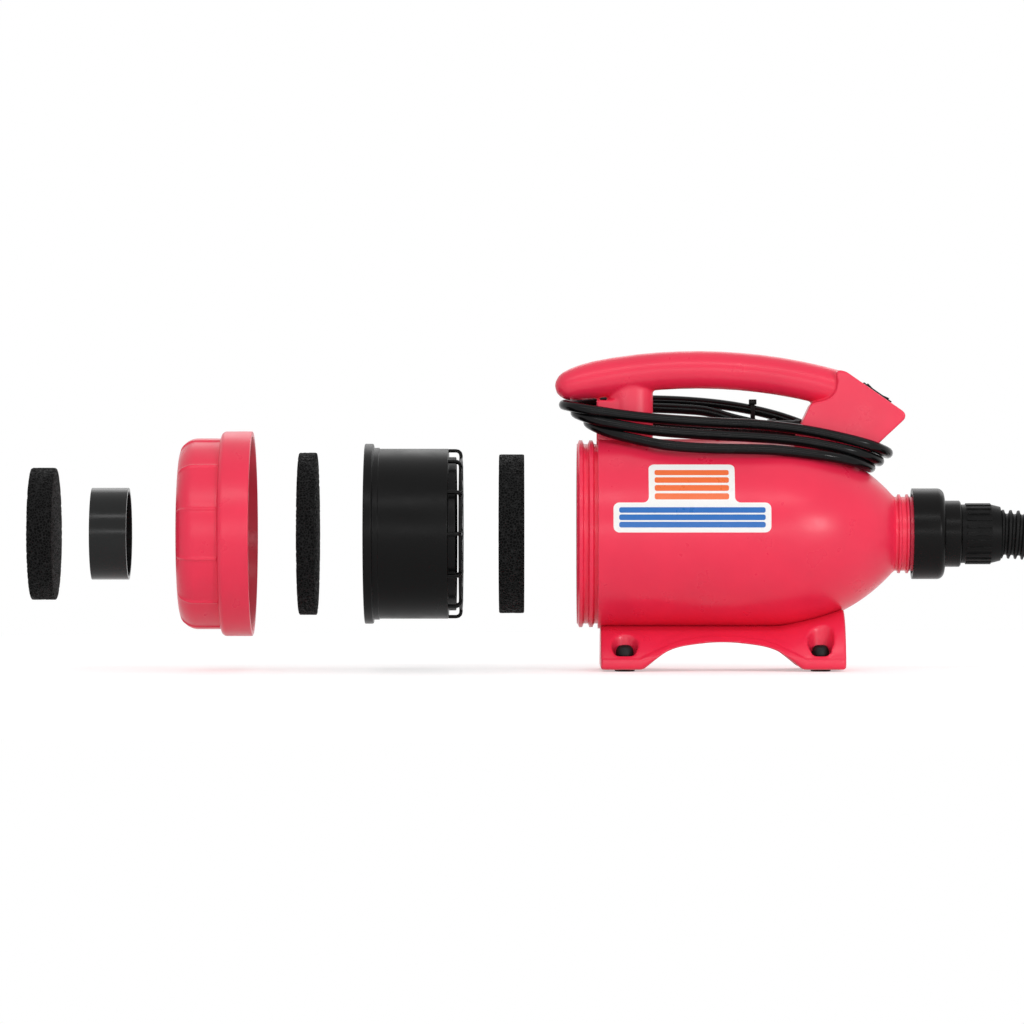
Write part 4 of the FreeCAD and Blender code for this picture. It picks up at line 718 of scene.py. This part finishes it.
def wound_route():
    points = list(LEAD)
    for number, turn in enumerate(TURNS):
        points += bend_points(turn, turn[0], turn[1], -1, 112.5)
        points += side_points(turn, turn, -1)
        points += bend_points(turn, turn[2], turn[3], 1, -67.5)
        if number + 1 < len(TURNS):
            points += side_points(turn, TURNS[number + 1], 1)
    points += TAIL
    return [(x / 1000, y / 1000, AXIS_Z + z / 1000) for x, y, z in points]


def spline_through(name, points, thickness):
    """A round cord on one smooth NURBS line that has the route's points as its controls."""
    line = bpy.data.curves.new(name, "CURVE")
    line.dimensions = "3D"
    spline = line.splines.new("NURBS")
    spline.points.add(len(points) - 1)
    for point, place in zip(spline.points, points):
        point.co = (*place, 1.0)
    spline.order_u = 3
    spline.use_endpoint_u = True
    spline.resolution_u = 10
    line.bevel_depth = thickness / 2
    line.bevel_resolution = 5
    line.use_fill_caps = True
    return new_object(name, line)


def pvc_sheath(name, colour):
    """Extruded PVC: a soft shine with long faint flow marks, and dust in patches."""
    material, tree, shader, place = start_finish(name)
    patches = spread(tree, noise(tree, place, 45.0, 4.0), 0.4, 0.75, 0.0, 0.6)
    set_inputs(tree, shader, {
        "Base Color": mixed_colour(tree, patches, colour, shade(colour, 0.9, 0.007)),
        "Roughness": spread(tree, patches, 0.0, 0.6, 0.13, 0.27),
        "Specular IOR Level": 0.16})
    add_bump(tree, shader, noise(tree, place, 420.0), 0.00006, 0.4)
    return material


sheath = pvc_sheath("pvc_sheath", tint(9, 9, 10))
wound_cord = spline_through("power_cord", wound_route(), CORD_THICK)
wound_cord.data.materials.append(sheath)
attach(wound_cord, "dryer")
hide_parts("cord_lead", "cord_coil", "cord_tail")
finish_nodes(sheath, "plug_body")
finish_nodes(brass, "plug_blades")

# The strain relief is a rubber boot: a flange inside the head, and a tapered sleeve outside it
# with slots that let it bend with the cord.


def relief_boot():
    work = bmesh.new()
    outline = [(0.068, 0.0073), (0.064, 0.0073), (0.063, 0.0066), (0.048, 0.0066),
               (0.047, 0.0082), (0.0445, 0.0084), (0.0438, 0.0078)]
    for ring in range(6):
        start = 0.0425 - ring * 0.0044
        size = 0.0077 - ring * 0.0004
        outline += [(start, size), (start - 0.0024, size - 0.0002),
                    (start - 0.0028, size - 0.0013), (start - 0.0038, size - 0.0013)]
    outline += [(0.0160, 0.0055), (0.0152, 0.0047)]
    way = (Vector(LEAD[1]) - Vector(LEAD[0])).normalized()
    mouth = Vector(LEAD[0]) * MM + Vector((0, 0, AXIS_Z))
    rows = []
    for x, radius in outline:
        middle = mouth + way * (mouth.x - x) if x < mouth.x else Vector((x, mouth.y, mouth.z))
        rows.append([work.verts.new(middle + Vector((0, math.cos(turn), math.sin(turn))) * radius)
                     for turn in full_turn(32)])
    wrap(work, rows)
    return finished("cord_boot", work, rubber, "dryer", "rubber", "strain_relief")


cord_boot = relief_boot()

# A nylon cable tie holds the far strands together: a thin strap pulled tight round them, and
# the square head that it was threaded through.

TIE_X = 0.0285
TIE_HALF = 0.0018
TIE_UNDER = 0.0001
TIE_OVER = 0.0012
TIE_ABOVE = 0.095
TIE_HEAD = (0.0066, 0.0058, 0.0046)
TIE_TAIL = (0.0036, 0.0044, 0.0012)
TIE_BEVEL = 0.0005


def line_points(route):
    """Points along a cord's own smooth line, closely spaced, read from Blender."""
    bare = spline_through("bare_line", route, 0.0)
    line = made_mesh(bare)
    points = [vert.co.copy() for vert in line.vertices]
    curve = bare.data
    bpy.data.objects.remove(bare)
    bpy.data.curves.remove(curve)
    bpy.data.meshes.remove(line)
    return points


def strands_at(x):
    """Where the cord's far strands cross a plane at x, across and up."""
    places = line_points(wound_route())
    crossings = []
    for first, second in zip(places, places[1:]):
        if (first.x - x) * (second.x - x) <= 0 and first.y > 0.02 and first.x != second.x:
            crossings.append(first.lerp(second, (x - first.x) / (second.x - first.x)))
    return [place for place in crossings if place.z > AXIS_Z + TIE_ABOVE]


def cable_tie():
    work = bmesh.new()
    strands = strands_at(TIE_X)
    rings = []
    for side, lift in ((-1, TIE_UNDER), (1, TIE_UNDER), (1, TIE_OVER), (-1, TIE_OVER)):
        ring = []
        for turn in full_turn(72):
            out = Vector((0, math.cos(turn), math.sin(turn)))
            furthest = max(strands, key=lambda place: place.dot(out))
            reach = out * (CORD_THICK / 2 + lift)
            ring.append(work.verts.new((TIE_X + side * TIE_HALF, furthest.y + reach.y,
                                        furthest.z + reach.z)))
        rings.append(ring)
    wrap(work, rings, closed=True)
    top = max(strands, key=lambda place: place.z)
    middle = Matrix.Translation((TIE_X, top.y - 0.0012, top.z + CORD_THICK / 2 + 0.0024))
    corners = block(work, middle, *TIE_HEAD)
    corners += block(work, middle @ Matrix.Translation((0, 0.0042, 0.0006)), *TIE_TAIL)
    edges = {edge for vert in corners for edge in vert.link_edges}
    bmesh.ops.bevel(work, geom=list(edges), offset=TIE_BEVEL, segments=2, profile=0.5,
                    affect="EDGES", material=-1)
    finished("cable_tie", work, nylon, "dryer", "switch")


cable_tie()


# A black nylon collar screws onto the neck and holds the hose's ribbed swivel cuff, which is
# moulded in softer plastic.

black_nylon = moulded("collar_nylon", tint(12, 11, 11), tint(58, 54, 54), roughness=0.28,
                      grain=2200.0, depth=0.000015, edge=0.0007, gloss=0.11)
finish_nodes(black_nylon, "collar")
cuff_plastic = moulded("cuff_plastic", tint(12, 12, 12), tint(60, 60, 60), roughness=0.4,
                       grain=1900.0, depth=0.00002, edge=0.0006, gloss=0.1)
finish_nodes(cuff_plastic, "hose_cuff", "hose_end_cuff")

# The hose is blow-moulded in black polyethylene with a ring every six millimetres, so that it
# stretches and bends. It leaves the cuff, comes down to the floor and runs round to lie beside
# the dryer, where it ends in its own cuff and a tapered nozzle.

RING_PITCH = 0.0063
CREST = 0.021
GROOVE = 0.01775
HOSE_ROUTE = [
    (0.228, 0, 0.117), (0.280, 0, 0.117), (0.342, -0.012, 0.092), (0.395, -0.029, 0.055),
    (0.454, -0.0385, 0.029), (0.520, -0.0365, 0.0213), (0.582, -0.009, 0.0213),
    (0.627, 0.043, 0.0213), (0.645, 0.111, 0.0213), (0.631, 0.182, 0.0213),
    (0.585, 0.241, 0.0213), (0.520, 0.275, 0.023), (0.454, 0.280, 0.0266),
]


class Guide:
    """A smooth line with a frame that doesn't twist, for bending straight pieces along it."""

    def __init__(self, points):
        self.points = points
        self.along = [0.0]
        for before, after in zip(points, points[1:]):
            self.along.append(self.along[-1] + (after - before).length)
        self.length = self.along[-1]
        ways = [(after - before).normalized() for before, after in zip(points, points[1:])]
        self.ways = [ways[0]] + [(a + b).normalized() for a, b in zip(ways, ways[1:])]
        self.ways.append(ways[-1])
        side = self.ways[0].cross(Vector((0, 0, 1))).normalized()
        self.sides = []
        for way in self.ways:
            side = (side - way * side.dot(way)).normalized()
            self.sides.append(side)

    def place(self, distance, across, up):
        """The point at a distance along the line, moved off it sideways and upwards."""
        step = min(max(bisect.bisect(self.along, distance) - 1, 0), len(self.along) - 2)
        share = (distance - self.along[step]) / (self.along[step + 1] - self.along[step])
        way = self.ways[step].lerp(self.ways[step + 1], share).normalized()
        side = self.sides[step].lerp(self.sides[step + 1], share)
        side = (side - way * side.dot(way)).normalized()
        middle = self.points[step].lerp(self.points[step + 1], share)
        return middle + side * across + way.cross(side) * up


hose_points = line_points(HOSE_ROUTE)


def corrugated(name, node, guide, material):
    """The ringed wall of the hose, spun straight and then bent along its line."""
    rings = round(guide.length / RING_PITCH)
    pitch = guide.length / rings
    wall = [(0.0, 0.88), (0.13, 1.0), (0.30, 1.0), (0.45, 0.25), (0.55, 0.0), (0.80, 0.0),
            (0.92, 0.25)]
    work = bmesh.new()
    outline = []
    for ring in range(rings):
        for share, height in wall:
            outline.append(work.verts.new(((ring + share) * pitch, 0,
                                           GROOVE + (CREST - GROOVE) * height)))
    outline.append(work.verts.new((guide.length, 0, CREST - 0.0004)))
    edges = [work.edges.new(pair) for pair in zip(outline, outline[1:])]
    bmesh.ops.spin(work, geom=outline + edges, cent=(0, 0, 0), axis=(1, 0, 0),
                   angle=math.tau, steps=32, use_merge=True, use_duplicate=False)
    for vert in work.verts:
        vert.co = guide.place(vert.co.x, vert.co.y, vert.co.z)
    ends = [edge for edge in work.edges if edge.is_boundary]
    bmesh.ops.holes_fill(work, edges=ends)
    return finished(name, work, material, "dryer", "hose_skin", node)


hose_skin = moulded("hose_polyethylene", tint(19, 19, 19), tint(52, 52, 52), roughness=0.44,
                    grain=1500.0, depth=0.00003, edge=0.0005, gloss=0.14)
hose_tube = corrugated("corrugated_hose", "hose", Guide(hose_points), hose_skin)
finish_nodes(black_nylon, "nozzle")


# Three discs of open-cell filter foam are cut from sheet with a band knife. The cut faces are
# flat as a whole, but every pore that the knife opened leaves a pit, and the rim is ragged.


def open_cell_foam(name):
    """Reticulated foam: a net of thin dull ribs round pores whose insides are darkened with
    painted shade.
    """
    material, tree, shader, place = start_finish(name)
    cells = add_node(tree, "TexVoronoi", place, feature="DISTANCE_TO_EDGE", Scale=420.0)
    rib_mask_over_pore_shade = spread(tree, cells.outputs["Distance"], 0.02, 0.2, 1.0, 0.0)
    set_inputs(tree, shader, {
        # The near-black in the pores is painted shade; the ribs keep the foam's own dark grey.
        "Base Color": mixed_colour(tree, rib_mask_over_pore_shade, tint(3, 3, 3), tint(27, 27, 27)),
        "Roughness": spread(tree, rib_mask_over_pore_shade, 0.0, 1.0, 0.95, 0.6),
        "Specular IOR Level": 0.12})
    add_bump(tree, shader, rib_mask_over_pore_shade, 0.0006, 0.8)
    return material


FOAM_DISCS = [
    ("foam_inlet_disc", "inlet_foam", -0.593, -0.571, 0.057),
    ("foam_basket_disc", "basket_foam", -0.363, -0.347, 0.070),
    ("foam_motor_disc", "motor_foam", -0.191, -0.169, 0.0685),
]
FOAM_CELL = 0.0011
FOAM_INSIDE = 0.0002
PORE = 0.0030
PORE_OPEN = 0.55
PIT = 0.0013


def foam_disc(name, node, rear, front, radius, material):
    """A cut disc on its node's own body, with a pit pressed in at every opened pore."""
    work = bmesh.new()
    place = Matrix.Translation(((rear + front) / 2, 0, AXIS_Z))
    rod(work, place @ Matrix.Rotation(math.pi / 2, 4, "Y"), 72, radius - FOAM_INSIDE,
        front - rear - FOAM_INSIDE * 2)
    piece = voxel_skin(name, work, FOAM_CELL, 1, 1.0)
    piece.data.update()
    pits = []
    for vert in piece.data.vertices:
        nearest = noise_at.voronoi(vert.co / PORE)[0][0]
        pits.append(vert.normal * (PIT * max(0.0, 1.0 - nearest / PORE_OPEN)))
    for vert, pit in zip(piece.data.vertices, pits):
        vert.co -= pit
    dress(piece, material, node, "foam", node)


foam = open_cell_foam("open_cell_foam")
for foam_name, foam_node, foam_rear, foam_front, foam_radius in FOAM_DISCS:
    foam_disc(foam_name, foam_node, foam_rear, foam_front, foam_radius, foam)

# The filter basket is black polypropylene, drawn in one shot. Its drum is turned from one closed
# outline: a flange with a rolled edge, a plain wall, a ledge for the foam and a lip at the end.
# The cage is twelve posts bent inwards, two hoops and a hub.

BASKET_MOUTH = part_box("filter_basket")[0].x
DRUM_OUTLINE = [
    (0.0, 75.4, 0.6), (0.0, 77.4, 0.9), (7.7, 77.4, 1.4), (7.7, 73.9, 0.5), (12.4, 73.9, 0.3),
    (12.7, 73.1, 0.2), (72.0, 73.1, 0.9), (72.0, 66.0, 0.8), (78.5, 66.0, 0.7),
    (78.5, 64.0, 0.7), (70.0, 64.0, 0.6), (70.0, 71.1, 0.6), (35.8, 71.1, 0.6),
    (35.8, 64.0, 0.7), (33.8, 64.0, 0.7), (33.8, 71.1, 0.6), (4.7, 71.1, 0.8), (4.7, 75.4, 0.6)]
POST_PATH = [(69.5, 71.3, 1.5), (78.5, 71.3, 1.5), (80.5, 70.8, 1.5), (82.0, 69.3, 1.5),
             (82.5, 67.3, 1.5), (82.5, 44.0, 1.35), (82.5, 14.0, 1.2)]
CAGE_HOOPS = [(62.5, 65.5), (43.0, 46.0)]
CAGE_END = (81.1, 83.9)
HUB_R = 16.0
CAGE_CELL = 0.00065
EVEN_TURN = full_turn(144)

basket_plastic = moulded("basket_plastic", tint(10, 10, 10), tint(58, 58, 57), roughness=0.32,
                         grain=700.0, depth=0.00002, edge=0.0007, gloss=0.11)


def filleted(outline):
    """The points of a closed outline of (x, radius, rounding) corners."""
    points = []
    for index, (x, reach, rounding) in enumerate(outline):
        corner = Vector((x, reach))
        before = (Vector(outline[index - 1][:2]) - corner).normalized()
        after = (Vector(outline[(index + 1) % len(outline)][:2]) - corner).normalized()
        half = before.angle(after) / 2
        middle = corner + (before + after).normalized() * (rounding / math.sin(half))
        start = corner + before * (rounding / math.tan(half)) - middle
        end = corner + after * (rounding / math.tan(half)) - middle
        steps = 3 + round(rounding * 0.7)
        for step in range(steps + 1):
            points.append(middle + start.lerp(end, step / steps).normalized() * rounding)
    return points


def turned(work, mouth, points, angles, lift=None):
    """A closed outline turned about the air axis, with a lift at each point where it has one."""
    rows = []
    for point in points:
        row = []
        for angle in angles:
            x, reach = (point + lift(point, angle) if lift else point) * MM
            row.append(work.verts.new((mouth + x, reach * math.sin(angle),
                                       AXIS_Z + reach * math.cos(angle))))
        rows.append(row)
    wrap(work, rows, closed=True)


def cage_post(work, angle):
    """One square bar: along the air axis, round a bend, and inwards to the hub."""
    out = Vector((0, math.sin(angle), math.cos(angle)))
    across = Vector((0, math.cos(angle), -math.sin(angle)))
    rings = []
    for index, (x, reach, half) in enumerate(POST_PATH):
        before = POST_PATH[max(index - 1, 0)]
        after = POST_PATH[min(index + 1, len(POST_PATH) - 1)]
        way = (Vector((1, 0, 0)) * (after[0] - before[0]) + out * (after[1] - before[1]))
        up = way.normalized().cross(across)
        middle = Vector((BASKET_MOUTH + x * MM, 0, AXIS_Z)) + out * reach * MM
        rings.append([work.verts.new(middle + (across * a + up * b) * half * MM)
                      for a, b in ((-1, -1), (1, -1), (1, 1), (-1, 1))])
    wrap(work, rings)


def basket_cage():
    work = bmesh.new()
    for index in range(12):
        cage_post(work, math.radians(30 * index))
    low, high = CAGE_END
    for inner, outer in CAGE_HOOPS:
        bar = [Vector(place) for place in ((low, inner), (low, outer), (high, outer),
                                           (high, inner))]
        turned(work, BASKET_MOUTH, bar, EVEN_TURN)
    middle = Matrix.Translation((BASKET_MOUTH + (low + high) / 2 * MM, 0, AXIS_Z))
    for radius, thick in ((HUB_R, high - low), (HUB_R * 0.35, high - low + 1.6)):
        rod(work, middle @ Matrix.Rotation(math.pi / 2, 4, "Y"), 64, radius * MM, thick * MM)
    dress(voxel_skin("basket_cage", work, CAGE_CELL, 3, 0.5), basket_plastic,
          "basket", "basket_black", "filter_basket")


drum_work = bmesh.new()
turned(drum_work, BASKET_MOUTH, filleted(DRUM_OUTLINE), EVEN_TURN)
finished("basket_drum", drum_work, basket_plastic, "basket", "basket_black", "filter_basket")
basket_cage()

# The rear cap is the body's own coral plastic: a skirt that screws on, a dome with twelve low
# ribs that run over its rounded corner, a recess for the outer foam and the inlet port.

CAP_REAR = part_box("rear_cap")[0].x
CAP_DOME = 82.0
CAP_CORNER = 16.0
CAP_OUTLINE = [
    (0.0, 57.6, 0.8), (0.0, CAP_DOME, CAP_CORNER), (36.0, CAP_DOME, 0.7), (36.0, 88.0, 4.6),
    (62.6, 88.0, 0.9), (62.6, 83.5, 0.7), (39.0, 83.5, 1.0), (39.0, 79.0, 0.5),
    (37.6, 79.0, 0.4), (37.6, 74.8, 0.8), (34.0, 74.8, 0.8), (34.0, 79.0, 0.8),
    (3.0, 79.0, 13.0), (3.0, 60.6, 1.0), (23.0, 60.6, 1.5), (23.0, 42.4, 1.0),
    (54.0, 42.4, 0.9), (54.0, 39.9, 0.9), (20.0, 39.9, 0.9), (20.0, 57.6, 1.4)]
CAP_RIB = 1.1
RIB_WIDE = 1.3
RIB_STARTS = 20.0
RIB_FADE = 22.0
RIB_END = 35.5
RIB_TURNS = [-1.9, -1.25, -0.8, -0.4, 0.0, 0.4, 0.8, 1.25, 1.9]
RIB_TURNS += [1.9 + 2.62 * step for step in range(1, 10)]


def rib_lift(point, angle):
    """How far a rib raises the dome at a point: it fades in over the rounded corner."""
    reach = Vector((min(point.x - CAP_CORNER, 0.0), point.y - CAP_DOME + CAP_CORNER))
    if reach.y < 0 or reach.length < CAP_CORNER - 0.3 or point.x > RIB_END:
        return Vector((0.0, 0.0))
    fade = held((math.degrees(math.atan2(reach.y, -reach.x)) - RIB_STARTS) / RIB_FADE)
    off_rib = math.radians(math.degrees(angle) % 30 - 15) * CAP_DOME / RIB_WIDE
    return reach.normalized() * CAP_RIB * fade * math.exp(-off_rib * off_rib)


cap_work = bmesh.new()
turned(cap_work, CAP_REAR, filleted(CAP_OUTLINE),
       [math.radians(15 + 30 * rib + turn) for rib in range(12) for turn in RIB_TURNS], rib_lift)
finished("cap_moulding", cap_work, coral, "cap", "shell", "rear_cap")

# The ring is glossy black nylon, turned from tube, and presses into the cap's port.

finish_nodes(moulded("ring_nylon", tint(26, 27, 27), tint(76, 77, 77), roughness=0.2,
                     grain=900.0, depth=0.000015, edge=0.0007, gloss=0.2), "port_ring")


# The dryer stands on a pale studio floor under large soft lamps, seen level from its side.
# The world is white where the camera, a glossy skin or glass looks at it, and dim elsewhere.

FLOOR_PALE = (0.88, 0.88, 0.88, 1.0)
FLOOR_HALF = 60.0
FLOOR_Z = -0.0002
FLOOR_GLOW = 0.42
WHITE_FROM = 0.7
WHITE_BY = 1.6
ROOM_GLOW = 0.56


def looked_at(tree):
    """1 where the camera, a glossy skin or glass looks at the surface, and 0 for its light."""
    path = add_node(tree, "LightPath")
    share = path.outputs["Is Camera Ray"]
    for name in ("Is Glossy Ray", "Is Transmission Ray"):
        either = add_node(tree, "Math", share, path.outputs[name], operation="MAXIMUM")
        share = either.outputs["Value"]
    return share


def white(tree, kind, strength):
    """Plain white light of one strength, as a surface's emission or the world's background."""
    return add_node(tree, kind, (1, 1, 1, 1), strength).outputs[0]


def blended(tree, share, first, second):
    return add_node(tree, "MixShader", share, first, second).outputs[0]


def studio_floor():
    """Pale paper that keeps the shadows near the dryer and is plain white further off."""
    work = bmesh.new()
    bmesh.ops.create_grid(work, x_segments=1, y_segments=1, size=FLOOR_HALF,
                          matrix=Matrix.Translation((0, 0, FLOOR_Z)))
    material, tree, shader, place = start_finish("studio_paper")
    mottle = spread(tree, noise(tree, place, 6.0), 0.3, 0.7)
    set_inputs(tree, shader, {
        "Base Color": mixed_colour(tree, mottle, shade(FLOOR_PALE, 0.985), FLOOR_PALE),
        "Roughness": 0.9,
        "Specular IOR Level": 0.1})
    paper = shader.outputs["BSDF"]
    bright = add_node(tree, "AddShader", paper, white(tree, "Emission", FLOOR_GLOW)).outputs[0]
    far = add_node(tree, "VectorMath", place, operation="LENGTH").outputs["Value"]
    away = spread(tree, far, WHITE_FROM, WHITE_BY)
    seen = blended(tree, away, bright, white(tree, "Emission", 1.0))
    set_inputs(tree, tree.nodes["Material Output"],
               {"Surface": blended(tree, looked_at(tree), paper, seen)})
    floor = mesh_object("studio_floor", work)
    floor.data.materials.append(material)


def soft_lamp(name, place, aim, wide, high, power):
    lamp = bpy.data.lights.new(name, "AREA")
    lamp.shape = "RECTANGLE"
    lamp.size = wide
    lamp.size_y = high
    lamp.energy = power
    holder = new_object(name, lamp)
    holder.location = place
    holder.rotation_euler = (Vector(aim) - Vector(place)).to_track_quat("-Z", "Y").to_euler()


def white_room():
    world = bpy.data.worlds.new("studio")
    bpy.context.scene.world = world
    world.use_nodes = True
    tree = world.node_tree
    tree.nodes.clear()
    lit = white(tree, "Background", ROOM_GLOW)
    seen = white(tree, "Background", 1.0)
    add_node(tree, "OutputWorld", blended(tree, looked_at(tree), lit, seen))


studio_floor()
white_room()
soft_lamp("key_lamp", (2.0, -2.8, 0.75), (0.0, 0, 0.12), 0.5, 0.5, 27.0)
soft_lamp("front_strip", (-0.2, -3.2, 0.45), (-0.15, 0, 0.12), 3.2, 0.26, 12.5)
soft_lamp("top_strip", (-0.3, -1.8, 1.9), (-0.15, 0, 0.1), 3.0, 0.26, 13.0)
soft_lamp("back_lamp", (0.2, 1.9, 1.6), (-0.1, 0, 0.1), 2.4, 1.2, 10.0)

# A long lens, level with the row's middle, keeps the row's discs edge on as in a catalogue.

camera = bpy.data.cameras.new("camera")
camera.lens = 204.4
camera.sensor_width = 36.0
camera.shift_x = -0.0337
camera_holder = new_object("camera", camera)
camera_holder.location = (-0.15, -5.0, 0.1357)
camera_holder.rotation_euler = (math.pi / 2, 0, 0)
bpy.context.scene.camera = camera_holder
bpy.context.scene.view_settings.view_transform = "Standard"
